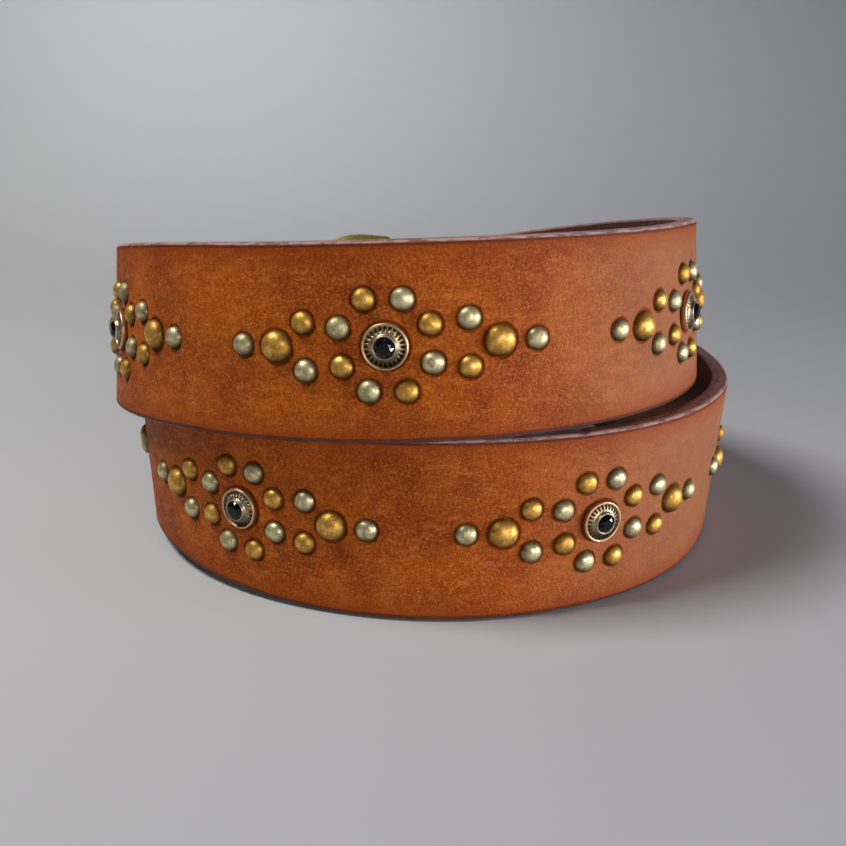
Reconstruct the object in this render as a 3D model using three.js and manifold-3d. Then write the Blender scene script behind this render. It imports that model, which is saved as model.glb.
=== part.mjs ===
// Studded leather belt, coiled in two turns and standing on its lower edge.
// Millimetres, +Z up, front of the coil towards -Y, origin on the floor at the middle of the footprint.
import * as THREE from 'three';
import { mergeVertices } from 'three/addons/utils/BufferGeometryUtils.js';
import Module from 'manifold-3d';

const wasm = await Module();
wasm.setup();

// Strap
const STRAP_WIDTH = 40;
const STRAP_THICKNESS = 4;
const EDGE_BEVEL = 0.6;
const SECTION_SPACING = 13;
const TIP_LENGTH = 30;
const TIP_BLUNT_WIDTH = 5;
const TIP_SECTIONS = 5;

// Coil; the straight facets between two sections bow this far off the true curve
const COIL_RADIUS = 76;
const TURN_GAP = 0.6;
const SECTION_BOW = SECTION_SPACING ** 2 / (8 * COIL_RADIUS);

// Holes in the tail, counted from the tip
const HOLE_DIAMETER = 4.5;
const HOLE_PITCH = 20;
const HOLE_COUNT = 5;
const FIRST_HOLE_FROM_TIP = 55;
const LAST_HOLE_TO_STUDS = 11.9;

// Studs; a dome's shoulder is given as shares of its radius and height
const MOTIF_COUNT = 11;
const STUDS_TO_FOLD = 2.1;
const MOTIF_DROP = 0.3;
const STUD_DIAMETER = 4.7;
const STUD_HEIGHT = 1.5;
const LARGE_STUD_DIAMETER = 6.7;
const LARGE_STUD_HEIGHT = 2.1;
const STUD_ROOT = 0.8;
const STUD_ROOT_SPREAD = 1.04;
const DOME_SHOULDER_RADIUS = 0.74;
const DOME_SHOULDER_HEIGHT = 0.7;
const SEAT_GAP = 0.3;
const ROUND_SIDES = 10;
const SMALL_STUD_SIDES = 8;

// Settings and stones
const SETTING_DIAMETER = 9.3;
const SETTING_RIM_HEIGHT = 1.1;
const SETTING_RIM_WIDTH = 0.8;
const SETTING_RIM_SLOPE = 0.2;
const SETTING_VALLEY_HEIGHT = 0.7;
const BEZEL_HEIGHT = 2.1;
const BEZEL_WALL = 0.45;
const BEZEL_FLOOR = 0.7;
const STONE_DIAMETER = 4.3;
const STONE_CROWN = 0.6;
const STONE_GIRDLE = 0.2;
const STONE_TABLE_SHARE = 0.58;
const STONE_SIDES = 8;

// Buckle, folded end, keeper and rivets
const BAR_DIAMETER = 4.6;
const BAR_CLEARANCE = 0.4;
const BUCKLE_LENGTH = 32;
const BUCKLE_SIDE_CLEARANCE = 2;
const BUCKLE_ARCH = 1.7;
const BUCKLE_WIRE = 4.4;
const BUCKLE_TILT = THREE.MathUtils.degToRad(12);
const PRONG_WIDTH = 4;
const PRONG_THICKNESS = 2.6;
const PRONG_SLOT_LENGTH = 20;
const PRONG_SLOT_CLEARANCE = 0.6;
const PRONG_SLOT_OVERCUT = 1;
const FOLD_LENGTH = 46;
const FOLD_CLOSING_LENGTH = 10;
const FOLD_GAP = SEAT_GAP + 2 * SECTION_BOW;
const FOLD_TURN_SECTIONS = 6;
const KEEPER_WIDTH = 9;
const KEEPER_WALL = 1.6;
const KEEPER_CLEARANCE = 0.4;
const KEEPER_FROM_CLOSING = 1;
const RIVET_DIAMETER = 8;
const RIVET_HEIGHT = 1.6;
const RIVET_TOP_SHARE = 0.7;
const RIVET_FROM_KEEPER = 10;
const RIVET_SPACING = 13;

// Colours seen in the photograph
const LEATHER = new THREE.MeshStandardMaterial({ color: 0x8c4412, roughness: 0.62, metalness: 0 });
const BRASS = new THREE.MeshStandardMaterial({ color: 0x9c7436, roughness: 0.38, metalness: 1 });
const NICKEL = new THREE.MeshStandardMaterial({ color: 0x9b9a88, roughness: 0.38, metalness: 1 });
const OLD_COPPER = new THREE.MeshStandardMaterial({ color: 0x8a6a4c, roughness: 0.42, metalness: 1 });
const BLACK_GLASS = new THREE.MeshStandardMaterial({ color: 0x060607, roughness: 0.05, metalness: 0 });

// The strap's route from the tail's tip to the fold round the buckle.
// turn: degrees round the coil, 0 at the front, growing to the right
// radius: outer face from the axis, as a share of COIL_RADIUS
// layers: how many strap thicknesses this stretch lies outside the innermost one
// height: mid-height above the floor, as a share of STRAP_WIDTH
// lean: degrees that the upper edge leans outwards
const ROUTE = [
  { turn: -230, radius: 0.990, layers: 1.0, height: 0.500, lean: 0 },
  { turn: -200, radius: 0.980, layers: 1.0, height: 0.500, lean: 0 },
  { turn: -170, radius: 0.957, layers: 1.0, height: 0.500, lean: 0 },
  { turn: -140, radius: 0.936, layers: 0.8, height: 0.502, lean: 0 },
  { turn: -110, radius: 0.953, layers: 0.2, height: 0.522, lean: 2 },
  { turn: -80, radius: 0.983, layers: 0.0, height: 0.574, lean: 2 },
  { turn: -50, radius: 0.979, layers: 0.0, height: 0.559, lean: 0.5 },
  { turn: -20, radius: 0.966, layers: 0.0, height: 0.511, lean: -1 },
  { turn: 10, radius: 0.967, layers: 0.3, height: 0.504, lean: -2 },
  { turn: 40, radius: 0.975, layers: 0.8, height: 0.503, lean: 1.5 },
  { turn: 70, radius: 0.979, layers: 1.0, height: 0.500, lean: 4 },
  { turn: 100, radius: 1.011, layers: 1.0, height: 0.507, lean: 6 },
  { turn: 130, radius: 1.082, layers: 1.5, height: 0.550, lean: 7.5 },
  { turn: 160, radius: 1.150, layers: 2.0, height: 0.644, lean: 7 },
  { turn: 190, radius: 1.185, layers: 2.0, height: 0.789, lean: 5 },
  { turn: 220, radius: 1.134, layers: 2.0, height: 0.969, lean: 2 },
  { turn: 250, radius: 1.024, layers: 1.8, height: 1.156, lean: -1.5 },
  { turn: 280, radius: 0.998, layers: 1.0, height: 1.320, lean: -5 },
  { turn: 310, radius: 0.961, layers: 1.0, height: 1.432, lean: -5.5 },
  { turn: 340, radius: 0.951, layers: 1.0, height: 1.490, lean: -3 },
  { turn: 370, radius: 0.970, layers: 0.5, height: 1.522, lean: -2.5 },
  { turn: 400, radius: 0.960, layers: 0.2, height: 1.525, lean: -2.5 },
  { turn: 430, radius: 0.941, layers: 0.0, height: 1.509, lean: -4.5 },
  { turn: 460, radius: 0.926, layers: 0.0, height: 1.447, lean: -4 },
  { turn: 490, radius: 0.910, layers: 0.0, height: 1.340, lean: -2.5 },
  { turn: 520, radius: 0.894, layers: 0.0, height: 1.195, lean: -1 },
  { turn: 550, radius: 0.878, layers: 0.0, height: 1.050, lean: 0 },
];

// One diamond motif round its setting, flat: u along the strap and v up it, as shares of the
// step from motif to motif and of STRAP_WIDTH. Each row has a twin, turned half way round the setting.
const SMALL_STUDS = [
  { u: 0.372, v: 0.004 },
  { u: 0.202, v: -0.114 },
  { u: 0.201, v: 0.124 },
  { u: 0.113, v: -0.089 },
  { u: 0.108, v: 0.101 },
  { u: 0.048, v: -0.226 },
  { u: 0.044, v: 0.224 },
];
const LARGE_STUD = { u: 0.276, v: 0.006 };

// Where the strap's facets meet beside a motif, as shares of the same step, so that they pass
// between its studs.
const FACET_SHARES = [-0.417, -0.25, -0.078, 0.078, 0.25, 0.417];

// Catmull-Rom value between four evenly spaced numbers.
function smooth(before, from, to, after, share) {
  const slopeFrom = (to - before) / 2;
  const slopeTo = (after - from) / 2;
  const s2 = share * share;
  const s3 = s2 * share;
  return (2 * s3 - 3 * s2 + 1) * from + (s3 - 2 * s2 + share) * slopeFrom
    + (3 * s2 - 2 * s3) * to + (s3 - s2) * slopeTo;
}

// Every column of ROUTE at one turn, in millimetres and radians.
function routeAt(turn) {
  const last = ROUTE.length - 1;
  let i = 0;
  while (i < last - 1 && ROUTE[i + 1].turn <= turn) i += 1;
  const rows = [ROUTE[Math.max(i - 1, 0)], ROUTE[i], ROUTE[i + 1], ROUTE[Math.min(i + 2, last)]];
  const share = (turn - rows[1].turn) / (rows[2].turn - rows[1].turn);
  const column = (name) => smooth(...rows.map((row) => row[name]), share);
  return {
    radius: column('radius') * COIL_RADIUS + column('layers') * (STRAP_THICKNESS + TURN_GAP),
    height: column('height') * STRAP_WIDTH,
    lean: THREE.MathUtils.degToRad(column('lean')),
  };
}

function routePoint(turn) {
  const { radius, height } = routeAt(turn);
  const angle = THREE.MathUtils.degToRad(turn);
  return new THREE.Vector3(radius * Math.sin(angle), -radius * Math.cos(angle), height);
}

// Lengths along the middle of the outer face, measured at every degree from the tail's tip.
const FIRST_TURN = ROUTE[0].turn;
const LAST_TURN = ROUTE[ROUTE.length - 1].turn;
const lengthAtDegree = [0];
for (let turn = FIRST_TURN; turn < LAST_TURN; turn += 1) {
  const step = routePoint(turn).distanceTo(routePoint(turn + 1));
  lengthAtDegree.push(lengthAtDegree[lengthAtDegree.length - 1] + step);
}
const ROUTE_LENGTH = lengthAtDegree[lengthAtDegree.length - 1];

function turnAtLength(length) {
  let i = 0;
  while (i < lengthAtDegree.length - 2 && lengthAtDegree[i + 1] < length) i += 1;
  const share = (length - lengthAtDegree[i]) / (lengthAtDegree[i + 1] - lengthAtDegree[i]);
  return FIRST_TURN + i + share;
}

function lengthAtTurn(turn) {
  const i = Math.floor(turn - FIRST_TURN);
  const share = turn - FIRST_TURN - i;
  return lengthAtDegree[i] + share * (lengthAtDegree[i + 1] - lengthAtDegree[i]);
}

// Frame on the outer face at a length from the tip: along the strap, up its width, and outwards.
function frameAt(length) {
  const turn = turnAtLength(length);
  const halfStep = 0.5;
  const back = routePoint(Math.max(turn - halfStep, FIRST_TURN));
  const ahead = routePoint(Math.min(turn + halfStep, LAST_TURN));
  const along = ahead.sub(back).normalize();
  const level = new THREE.Vector3(along.y, -along.x, 0).normalize();
  const up = new THREE.Vector3().crossVectors(level, along);
  const { lean } = routeAt(turn);
  up.applyAxisAngle(along, lean);
  const out = new THREE.Vector3().crossVectors(along, up);
  return { point: routePoint(turn), along, up, out };
}

// Matrix that puts a flat piece on the strap: x along it, y up it, z outwards.
function placeOn(frame, v = 0, outwards = 0) {
  const matrix = new THREE.Matrix4().makeBasis(frame.along, frame.up, frame.out);
  const point = frame.point.clone().addScaledVector(frame.up, v).addScaledVector(frame.out, outwards);
  return matrix.setPosition(point);
}

// Solids from three.js geometry, and back
function toSolid(geometry) {
  geometry.deleteAttribute('normal');
  geometry.deleteAttribute('uv');
  const merged = mergeVertices(geometry, 1e-4);
  const mesh = new wasm.Mesh({
    numProp: 3,
    vertProperties: new Float32Array(merged.attributes.position.array),
    triVerts: new Uint32Array(merged.index.array),
  });
  return new wasm.Manifold(mesh);
}

function toGeometry(solid) {
  const mesh = solid.getMesh();
  const geometry = new THREE.BufferGeometry();
  geometry.setAttribute('position', new THREE.BufferAttribute(mesh.vertProperties, 3));
  geometry.setIndex(new THREE.BufferAttribute(mesh.triVerts, 1));
  geometry.computeVertexNormals();
  return geometry;
}

// Round solid about the outward axis, from a profile of [radius, height] pairs.
function turned(profile, sides = ROUND_SIDES) {
  const points = profile.map(([radius, height]) => new THREE.Vector2(radius, height));
  return toSolid(new THREE.LatheGeometry(points, sides).rotateX(Math.PI / 2));
}

// Section of the strap: six corners, counter-clockwise about the way along it, bevelled at the outer face.
function sectionCorners(halfWidth) {
  const h = halfWidth;
  const t = STRAP_THICKNESS;
  const b = EDGE_BEVEL;
  return [
    { up: h, out: -t }, { up: h, out: -b }, { up: h - b, out: 0 },
    { up: -h + b, out: 0 }, { up: -h, out: -b }, { up: -h, out: -t },
  ];
}

// Closed skin through a list of sections {point, up, out, halfWidth}.
function sweep(sections) {
  const positions = [];
  for (const section of sections) {
    for (const corner of sectionCorners(section.halfWidth)) {
      const vertex = section.point.clone();
      vertex.addScaledVector(section.up, corner.up).addScaledVector(section.out, corner.out);
      positions.push(vertex.x, vertex.y, vertex.z);
    }
  }
  const corners = sectionCorners(STRAP_WIDTH / 2).length;
  const index = [];
  for (let i = 0; i < sections.length - 1; i += 1) {
    for (let j = 0; j < corners; j += 1) {
      const a = i * corners + j;
      const b = i * corners + (j + 1) % corners;
      index.push(a, b, b + corners, a, b + corners, a + corners);
    }
  }
  const end = (sections.length - 1) * corners;
  for (let j = 1; j < corners - 1; j += 1) {
    index.push(0, j + 1, j);
    index.push(end, end + j, end + j + 1);
  }
  const geometry = new THREE.BufferGeometry();
  geometry.setAttribute('position', new THREE.Float32BufferAttribute(positions, 3));
  geometry.setIndex(index);
  return geometry;
}

// Half the strap's width near the tip, which narrows as a rounded point.
function halfWidthAt(length) {
  const fullHalf = STRAP_WIDTH / 2;
  if (length >= TIP_LENGTH) return fullHalf;
  const share = 1 - length / TIP_LENGTH;
  const bluntHalf = TIP_BLUNT_WIDTH / 2;
  return bluntHalf + (fullHalf - bluntHalf) * Math.sqrt(1 - share * share);
}

// The end wraps round the buckle's bar: half a circle, then back along the inner face.
const END_FRAME = frameAt(ROUTE_LENGTH);
const INNER_TURN_RADIUS = BAR_DIAMETER / 2 + BAR_CLEARANCE;
const BAR_CENTRE = END_FRAME.point.clone().addScaledVector(END_FRAME.out, -STRAP_THICKNESS - INNER_TURN_RADIUS);

// Lengths from the tip at which the facets of the full-width strap meet.
function facetPlaces() {
  const places = [];
  const addEvenly = (from, to) => {
    const steps = Math.max(Math.round((to - from) / SECTION_SPACING), 1);
    for (let i = 0; i < steps; i += 1) places.push(from + (to - from) * (i / steps));
  };
  const beside = motifs.flatMap((length) => FACET_SHARES.map((share) => length + share * MOTIF_PITCH));
  addEvenly(TIP_LENGTH, beside[0]);
  places.push(...beside.slice(0, -1));
  addEvenly(beside[beside.length - 1], ROUTE_LENGTH);
  places.push(ROUTE_LENGTH);
  return places;
}

function strapSections() {
  const halfWidth = STRAP_WIDTH / 2;
  const sections = [];
  const addOnRoute = (length) => sections.push({ ...frameAt(length), halfWidth: halfWidthAt(length) });
  for (let i = 0; i < TIP_SECTIONS; i += 1) addOnRoute(TIP_LENGTH * (i / TIP_SECTIONS) ** 2);
  facetPlaces().forEach(addOnRoute);
  for (let i = 1; i < FOLD_TURN_SECTIONS; i += 1) {
    const angle = Math.PI * (i / FOLD_TURN_SECTIONS);
    const out = END_FRAME.out.clone().applyAxisAngle(END_FRAME.up, angle);
    const point = BAR_CENTRE.clone().addScaledVector(out, STRAP_THICKNESS + INNER_TURN_RADIUS);
    sections.push({ point, up: END_FRAME.up, out, halfWidth });
  }
  const foldSteps = Math.ceil((FOLD_LENGTH - FOLD_CLOSING_LENGTH) / SECTION_SPACING);
  const layDown = (i) => FOLD_CLOSING_LENGTH + (FOLD_LENGTH - FOLD_CLOSING_LENGTH) * (i / foldSteps);
  const foldPlaces = [0, FOLD_CLOSING_LENGTH / 2];
  for (let i = 0; i <= foldSteps; i += 1) foldPlaces.push(layDown(i));
  for (const back of foldPlaces) {
    const frame = frameAt(ROUTE_LENGTH - back);
    const open = 1 - THREE.MathUtils.smoothstep(back, 0, FOLD_CLOSING_LENGTH);
    const gap = FOLD_GAP + (2 * INNER_TURN_RADIUS - FOLD_GAP) * open;
    const point = frame.point.clone().addScaledVector(frame.out, -2 * STRAP_THICKNESS - gap);
    sections.push({ point, up: frame.up, out: frame.out.clone().negate(), halfWidth });
  }
  return sections;
}

// Motifs fill the length between the last hole and the folded end at even steps, a little below mid-width.
const LAST_HOLE = FIRST_HOLE_FROM_TIP + (HOLE_COUNT - 1) * HOLE_PITCH;
const STUDS_START = LAST_HOLE + LAST_HOLE_TO_STUDS;
const STUDS_END = ROUTE_LENGTH - FOLD_LENGTH - STUDS_TO_FOLD;
const END_STUDS_APART = 2 * SMALL_STUDS[0].u;
const MOTIF_PITCH = (STUDS_END - STUDS_START - STUD_DIAMETER) / (MOTIF_COUNT - 1 + END_STUDS_APART);
const MOTIF_HALF = (END_STUDS_APART * MOTIF_PITCH + STUD_DIAMETER) / 2;
const motifs = Array.from({ length: MOTIF_COUNT }, (_, i) => STUDS_START + MOTIF_HALF + i * MOTIF_PITCH);

// Both places of a motif's row: as given, and turned half way round.
function pairOf(row) {
  const place = (sign) => ({ u: sign * row.u * MOTIF_PITCH, v: sign * row.v * STRAP_WIDTH - MOTIF_DROP });
  return [1, -1].map(place);
}

function smallStud() {
  const radius = STUD_DIAMETER / 2;
  const profile = [
    [0, -STUD_ROOT],
    [radius * STUD_ROOT_SPREAD, -STUD_ROOT],
    [radius * DOME_SHOULDER_RADIUS, STUD_HEIGHT * DOME_SHOULDER_HEIGHT],
    [0, STUD_HEIGHT],
  ];
  return turned(profile, SMALL_STUD_SIDES);
}

function buildStrap() {
  let solid = toSolid(sweep(strapSections()));
  const tools = [];
  for (let i = 0; i < HOLE_COUNT; i += 1) {
    const frame = frameAt(FIRST_HOLE_FROM_TIP + i * HOLE_PITCH);
    const radius = HOLE_DIAMETER / 2;
    const hole = new THREE.CylinderGeometry(radius, radius, 3 * STRAP_THICKNESS, ROUND_SIDES);
    hole.rotateX(Math.PI / 2).applyMatrix4(placeOn(frame));
    tools.push(toSolid(hole));
  }
  const slotDepth = 2 * (STRAP_THICKNESS + INNER_TURN_RADIUS + PRONG_SLOT_OVERCUT);
  const slotWidth = PRONG_WIDTH + 2 * PRONG_SLOT_CLEARANCE;
  const slot = new THREE.BoxGeometry(PRONG_SLOT_LENGTH, slotWidth, slotDepth);
  const slotMatrix = new THREE.Matrix4().makeBasis(END_FRAME.along, END_FRAME.up, END_FRAME.out);
  slot.applyMatrix4(slotMatrix.setPosition(BAR_CENTRE));
  tools.push(toSolid(slot));
  solid = solid.subtract(wasm.Manifold.union(tools));
  const stud = smallStud();
  const domes = motifs.flatMap((length) => SMALL_STUDS.flatMap(pairOf).map(({ u, v }) => {
    const matrix = placeOn(frameAt(length + u), v);
    return stud.transform(matrix.elements);
  }));
  return solid.add(wasm.Manifold.union(domes));
}

function largeStud() {
  const radius = LARGE_STUD_DIAMETER / 2;
  const height = LARGE_STUD_HEIGHT;
  const shoulder = [radius * DOME_SHOULDER_RADIUS, height * DOME_SHOULDER_HEIGHT];
  return turned([[0, SEAT_GAP], [radius, SEAT_GAP], shoulder, [0, height]]);
}

const STONE_RADIUS = STONE_DIAMETER / 2;
const BEZEL_INNER = STONE_RADIUS + SEAT_GAP;
const GIRDLE_HEIGHT = SEAT_GAP + BEZEL_HEIGHT - STONE_GIRDLE;
const CULET_HEIGHT = SEAT_GAP + BEZEL_FLOOR + SEAT_GAP;

// Round cup: flat back, raised rim, valley, and a bezel wall round the stone's seat.
function setting() {
  const radius = SETTING_DIAMETER / 2;
  const base = SEAT_GAP;
  return turned([
    [0, base],
    [radius, base],
    [radius - SETTING_RIM_WIDTH / 2, base + SETTING_RIM_HEIGHT],
    [radius - SETTING_RIM_WIDTH - SETTING_RIM_SLOPE, base + SETTING_VALLEY_HEIGHT],
    [BEZEL_INNER + BEZEL_WALL, base + BEZEL_HEIGHT],
    [BEZEL_INNER, base + BEZEL_HEIGHT],
    [BEZEL_INNER, base + BEZEL_FLOOR],
    [0, base + BEZEL_FLOOR],
  ]);
}

// Cut stone: table, eight crown facets, girdle and eight pavilion facets.
function stone() {
  return turned([
    [0, CULET_HEIGHT],
    [STONE_RADIUS, GIRDLE_HEIGHT],
    [STONE_RADIUS, GIRDLE_HEIGHT + STONE_GIRDLE],
    [STONE_RADIUS * STONE_TABLE_SHARE, GIRDLE_HEIGHT + STONE_GIRDLE + STONE_CROWN],
    [0, GIRDLE_HEIGHT + STONE_GIRDLE + STONE_CROWN],
  ], STONE_SIDES);
}

// Frame, bar and prong as one solid; x away from the strap, y up it, z outwards, bar at the origin.
function buildBuckle() {
  const halfHeight = STRAP_WIDTH / 2 + BUCKLE_SIDE_CLEARANCE + BUCKLE_WIRE / 2;
  const wire = BUCKLE_WIRE / 2;
  const half = [
    { x: 0, y: halfHeight },
    { x: BUCKLE_LENGTH * 0.42, y: halfHeight + BUCKLE_ARCH },
    { x: BUCKLE_LENGTH * 0.8, y: halfHeight * 0.84 },
    { x: BUCKLE_LENGTH * 0.97, y: halfHeight * 0.42 },
  ];
  const upper = half.map(({ x, y }) => new THREE.Vector3(x, y, 0));
  const lower = half.map(({ x, y }) => new THREE.Vector3(x, -y, 0)).reverse();
  const curve = new THREE.CatmullRomCurve3([...upper, new THREE.Vector3(BUCKLE_LENGTH, 0, 0), ...lower]);
  const round = new THREE.Shape().absarc(0, 0, wire, 0, 2 * Math.PI);
  const frame = toSolid(new THREE.ExtrudeGeometry(round, { steps: 20, curveSegments: 4, extrudePath: curve }));
  const barRadius = BAR_DIAMETER / 2;
  const barLength = 2 * halfHeight + BUCKLE_WIRE;
  const bar = new THREE.CylinderGeometry(barRadius, barRadius, barLength, ROUND_SIDES);
  const prongLength = BUCKLE_LENGTH + wire;
  const prong = new THREE.BoxGeometry(prongLength, PRONG_WIDTH, PRONG_THICKNESS);
  prong.translate(prongLength / 2, 0, wire);
  return wasm.Manifold.union([frame, toSolid(bar), toSolid(prong)]);
}

// Leather band round both layers of the folded end, centred between them, with room for their curve.
function buildKeeper() {
  const layers = 2 * STRAP_THICKNESS + FOLD_GAP;
  const innerX = layers / 2 + KEEPER_CLEARANCE + SECTION_BOW;
  const innerY = STRAP_WIDTH / 2 + KEEPER_CLEARANCE;
  const rectangle = (Path, x, y) => new Path([
    new THREE.Vector2(-x, -y), new THREE.Vector2(x, -y), new THREE.Vector2(x, y), new THREE.Vector2(-x, y),
  ]);
  const shape = rectangle(THREE.Shape, innerX + KEEPER_WALL, innerY + KEEPER_WALL);
  shape.holes.push(rectangle(THREE.Path, innerX, innerY));
  const band = new THREE.ExtrudeGeometry(shape, { depth: KEEPER_WIDTH, bevelEnabled: false });
  band.translate(0, 0, -KEEPER_WIDTH / 2).rotateY(Math.PI / 2);
  return toSolid(band);
}

function rivet() {
  const radius = RIVET_DIAMETER / 2;
  const top = radius * RIVET_TOP_SHARE;
  return turned([[0, SEAT_GAP], [radius, SEAT_GAP], [top, RIVET_HEIGHT], [0, RIVET_HEIGHT]]);
}

// Assembly
const belt = new THREE.Group();
const coil = new THREE.Group();
belt.add(coil);

function addPiece(name, solid, material, matrix) {
  const mesh = new THREE.Mesh(toGeometry(solid), material);
  mesh.name = name;
  if (matrix) matrix.decompose(mesh.position, mesh.quaternion, mesh.scale);
  coil.add(mesh);
}

const numbered = (name, index) => `${name}_${String(index + 1).padStart(2, '0')}`;

addPiece('strap', buildStrap(), LEATHER);

motifs.forEach((length, index) => {
  const matrix = placeOn(frameAt(length), -MOTIF_DROP);
  addPiece(numbered('setting', index), setting(), OLD_COPPER, matrix);
  addPiece(numbered('stone', index), stone(), BLACK_GLASS, matrix);
  pairOf(LARGE_STUD).forEach(({ u, v }, side) => {
    addPiece(numbered('large_stud', 2 * index + side), largeStud(), BRASS, placeOn(frameAt(length + u), v));
  });
});

const buckleMatrix = new THREE.Matrix4().makeBasis(END_FRAME.along, END_FRAME.up, END_FRAME.out);
buckleMatrix.setPosition(BAR_CENTRE).multiply(new THREE.Matrix4().makeRotationY(BUCKLE_TILT));
addPiece('buckle', buildBuckle(), BRASS, buckleMatrix);

const keeperAt = ROUTE_LENGTH - FOLD_CLOSING_LENGTH - KEEPER_FROM_CLOSING - KEEPER_WIDTH / 2;
const keeperDepth = -(2 * STRAP_THICKNESS + FOLD_GAP) / 2;
addPiece('keeper_loop', buildKeeper(), LEATHER, placeOn(frameAt(keeperAt), 0, keeperDepth));

for (let i = 0; i < 2; i += 1) {
  const length = keeperAt - RIVET_FROM_KEEPER - i * RIVET_SPACING;
  addPiece(numbered('fold_rivet', i), rivet(), NICKEL, placeOn(frameAt(length)));
}

// Stand the coil on the floor, its footprint centred on the origin.
belt.updateMatrixWorld(true);
const bounds = new THREE.Box3().setFromObject(belt, true);
const centre = bounds.getCenter(new THREE.Vector3());
coil.position.set(-centre.x, -centre.y, -bounds.min.z);
belt.updateMatrixWorld(true);

export default belt;
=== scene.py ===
"""Looks of the coiled studded belt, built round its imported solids.

Metres, +Z up, front of the coil towards -Y, floor at Z = 0.
"""

import logging
import math
from dataclasses import dataclass, field
from enum import Enum

import bpy
import numpy as np
from mathutils import Matrix, Vector


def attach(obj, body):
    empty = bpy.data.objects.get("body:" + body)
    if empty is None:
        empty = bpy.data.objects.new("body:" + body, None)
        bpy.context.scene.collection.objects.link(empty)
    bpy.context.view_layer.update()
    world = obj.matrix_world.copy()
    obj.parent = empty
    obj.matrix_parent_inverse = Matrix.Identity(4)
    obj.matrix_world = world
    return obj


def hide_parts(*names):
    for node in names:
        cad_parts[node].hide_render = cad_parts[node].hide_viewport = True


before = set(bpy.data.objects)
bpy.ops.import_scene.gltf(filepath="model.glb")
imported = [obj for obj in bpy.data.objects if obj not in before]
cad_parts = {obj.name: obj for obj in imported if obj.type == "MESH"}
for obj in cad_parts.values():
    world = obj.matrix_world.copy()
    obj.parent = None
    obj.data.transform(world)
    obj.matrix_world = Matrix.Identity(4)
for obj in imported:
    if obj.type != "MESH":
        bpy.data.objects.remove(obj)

log = logging.getLogger("belt")

Colour = tuple[float, float, float]
IMAGE_SIDE = 846


class Metal(Enum):
    """What a small stud is plated with."""

    NICKEL = "nickel"
    BRASS = "brass"


class Side(Enum):
    """Which part of the strap's section a point lies on."""

    GRAIN = 0.0
    EDGE = 1.0
    FLESH = 2.0


@dataclass(frozen=True)
class RouteRow:
    """One place on the strap's way round the coil.

    turn is in degrees from the front, growing to the right. radius and height are shares of the coil's
    radius and of the strap's width, layers counts strap thicknesses outside the innermost one, and lean
    is how many degrees the upper edge leans outwards.
    """

    turn: float
    radius: float
    layers: float
    height: float
    lean: float


ROUTE_ROWS = (
    RouteRow(-230, 0.990, 1.0, 0.500, 0.0),
    RouteRow(-200, 0.980, 1.0, 0.500, 0.0),
    RouteRow(-170, 0.957, 1.0, 0.500, 0.0),
    RouteRow(-140, 0.936, 0.8, 0.502, 0.0),
    RouteRow(-110, 0.953, 0.2, 0.522, 2.0),
    RouteRow(-80, 0.983, 0.0, 0.574, 2.0),
    RouteRow(-50, 0.979, 0.0, 0.559, 0.5),
    RouteRow(-20, 0.966, 0.0, 0.511, -1.0),
    RouteRow(10, 0.967, 0.3, 0.504, -2.0),
    RouteRow(40, 0.975, 0.8, 0.503, 1.5),
    RouteRow(70, 0.979, 1.0, 0.500, 4.0),
    RouteRow(100, 1.011, 1.0, 0.507, 6.0),
    RouteRow(130, 1.082, 1.5, 0.550, 7.5),
    RouteRow(160, 1.150, 2.0, 0.644, 7.0),
    RouteRow(190, 1.185, 2.0, 0.789, 5.0),
    RouteRow(220, 1.134, 2.0, 0.969, 2.0),
    RouteRow(250, 1.024, 1.8, 1.156, -1.5),
    RouteRow(280, 0.998, 1.0, 1.320, -5.0),
    RouteRow(310, 0.961, 1.0, 1.432, -5.5),
    RouteRow(340, 0.951, 1.0, 1.490, -3.0),
    RouteRow(370, 0.970, 0.5, 1.522, -2.5),
    RouteRow(400, 0.960, 0.2, 1.525, -2.5),
    RouteRow(430, 0.941, 0.0, 1.509, -4.5),
    RouteRow(460, 0.926, 0.0, 1.447, -4.0),
    RouteRow(490, 0.910, 0.0, 1.340, -2.5),
    RouteRow(520, 0.894, 0.0, 1.195, -1.0),
    RouteRow(550, 0.878, 0.0, 1.050, 0.0),
)


@dataclass(frozen=True)
class StudRow:
    """One stud of a motif, flat: u along the strap and v up it, as shares of the pitch and the width."""

    u: float
    v: float
    metal: Metal


SMALL_ROWS = (
    StudRow(0.372, 0.004, Metal.NICKEL),
    StudRow(0.202, -0.114, Metal.BRASS),
    StudRow(0.201, 0.124, Metal.NICKEL),
    StudRow(0.113, -0.089, Metal.NICKEL),
    StudRow(0.108, 0.101, Metal.BRASS),
    StudRow(0.048, -0.226, Metal.BRASS),
    StudRow(0.044, 0.224, Metal.NICKEL),
)
LARGE_ROW = StudRow(0.276, 0.006, Metal.BRASS)


@dataclass
class Frames:
    """Places on the outer face: points, and unit vectors along the strap, up its width and outwards."""

    point: np.ndarray
    along: np.ndarray
    up: np.ndarray
    out: np.ndarray

    def moved(self, across: np.ndarray, outward: np.ndarray) -> "Frames":
        """The same frames, moved by across up the width and by outward off the face."""
        point = self.point + self.up * across[:, None] + self.out * outward[:, None]
        return Frames(point, self.along, self.up, self.out)


@dataclass
class Shape:
    """A mesh as arrays: vertices, faces as rows of vertex numbers, and named values at the vertices."""

    vertices: np.ndarray
    faces: list[list[int]]
    values: dict[str, np.ndarray] = field(default_factory=dict)


def unit(vectors: np.ndarray) -> np.ndarray:
    """Each row divided by its length."""
    return vectors / np.linalg.norm(vectors, axis=-1, keepdims=True)


def smooth_step(value: np.ndarray, low: float, high: float) -> np.ndarray:
    """0 below low, 1 above high, and 3t^2 - 2t^3 of the share t between them."""
    t = np.clip((value - low) / (high - low), 0.0, 1.0)
    return t * t * (3.0 - 2.0 * t)


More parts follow.
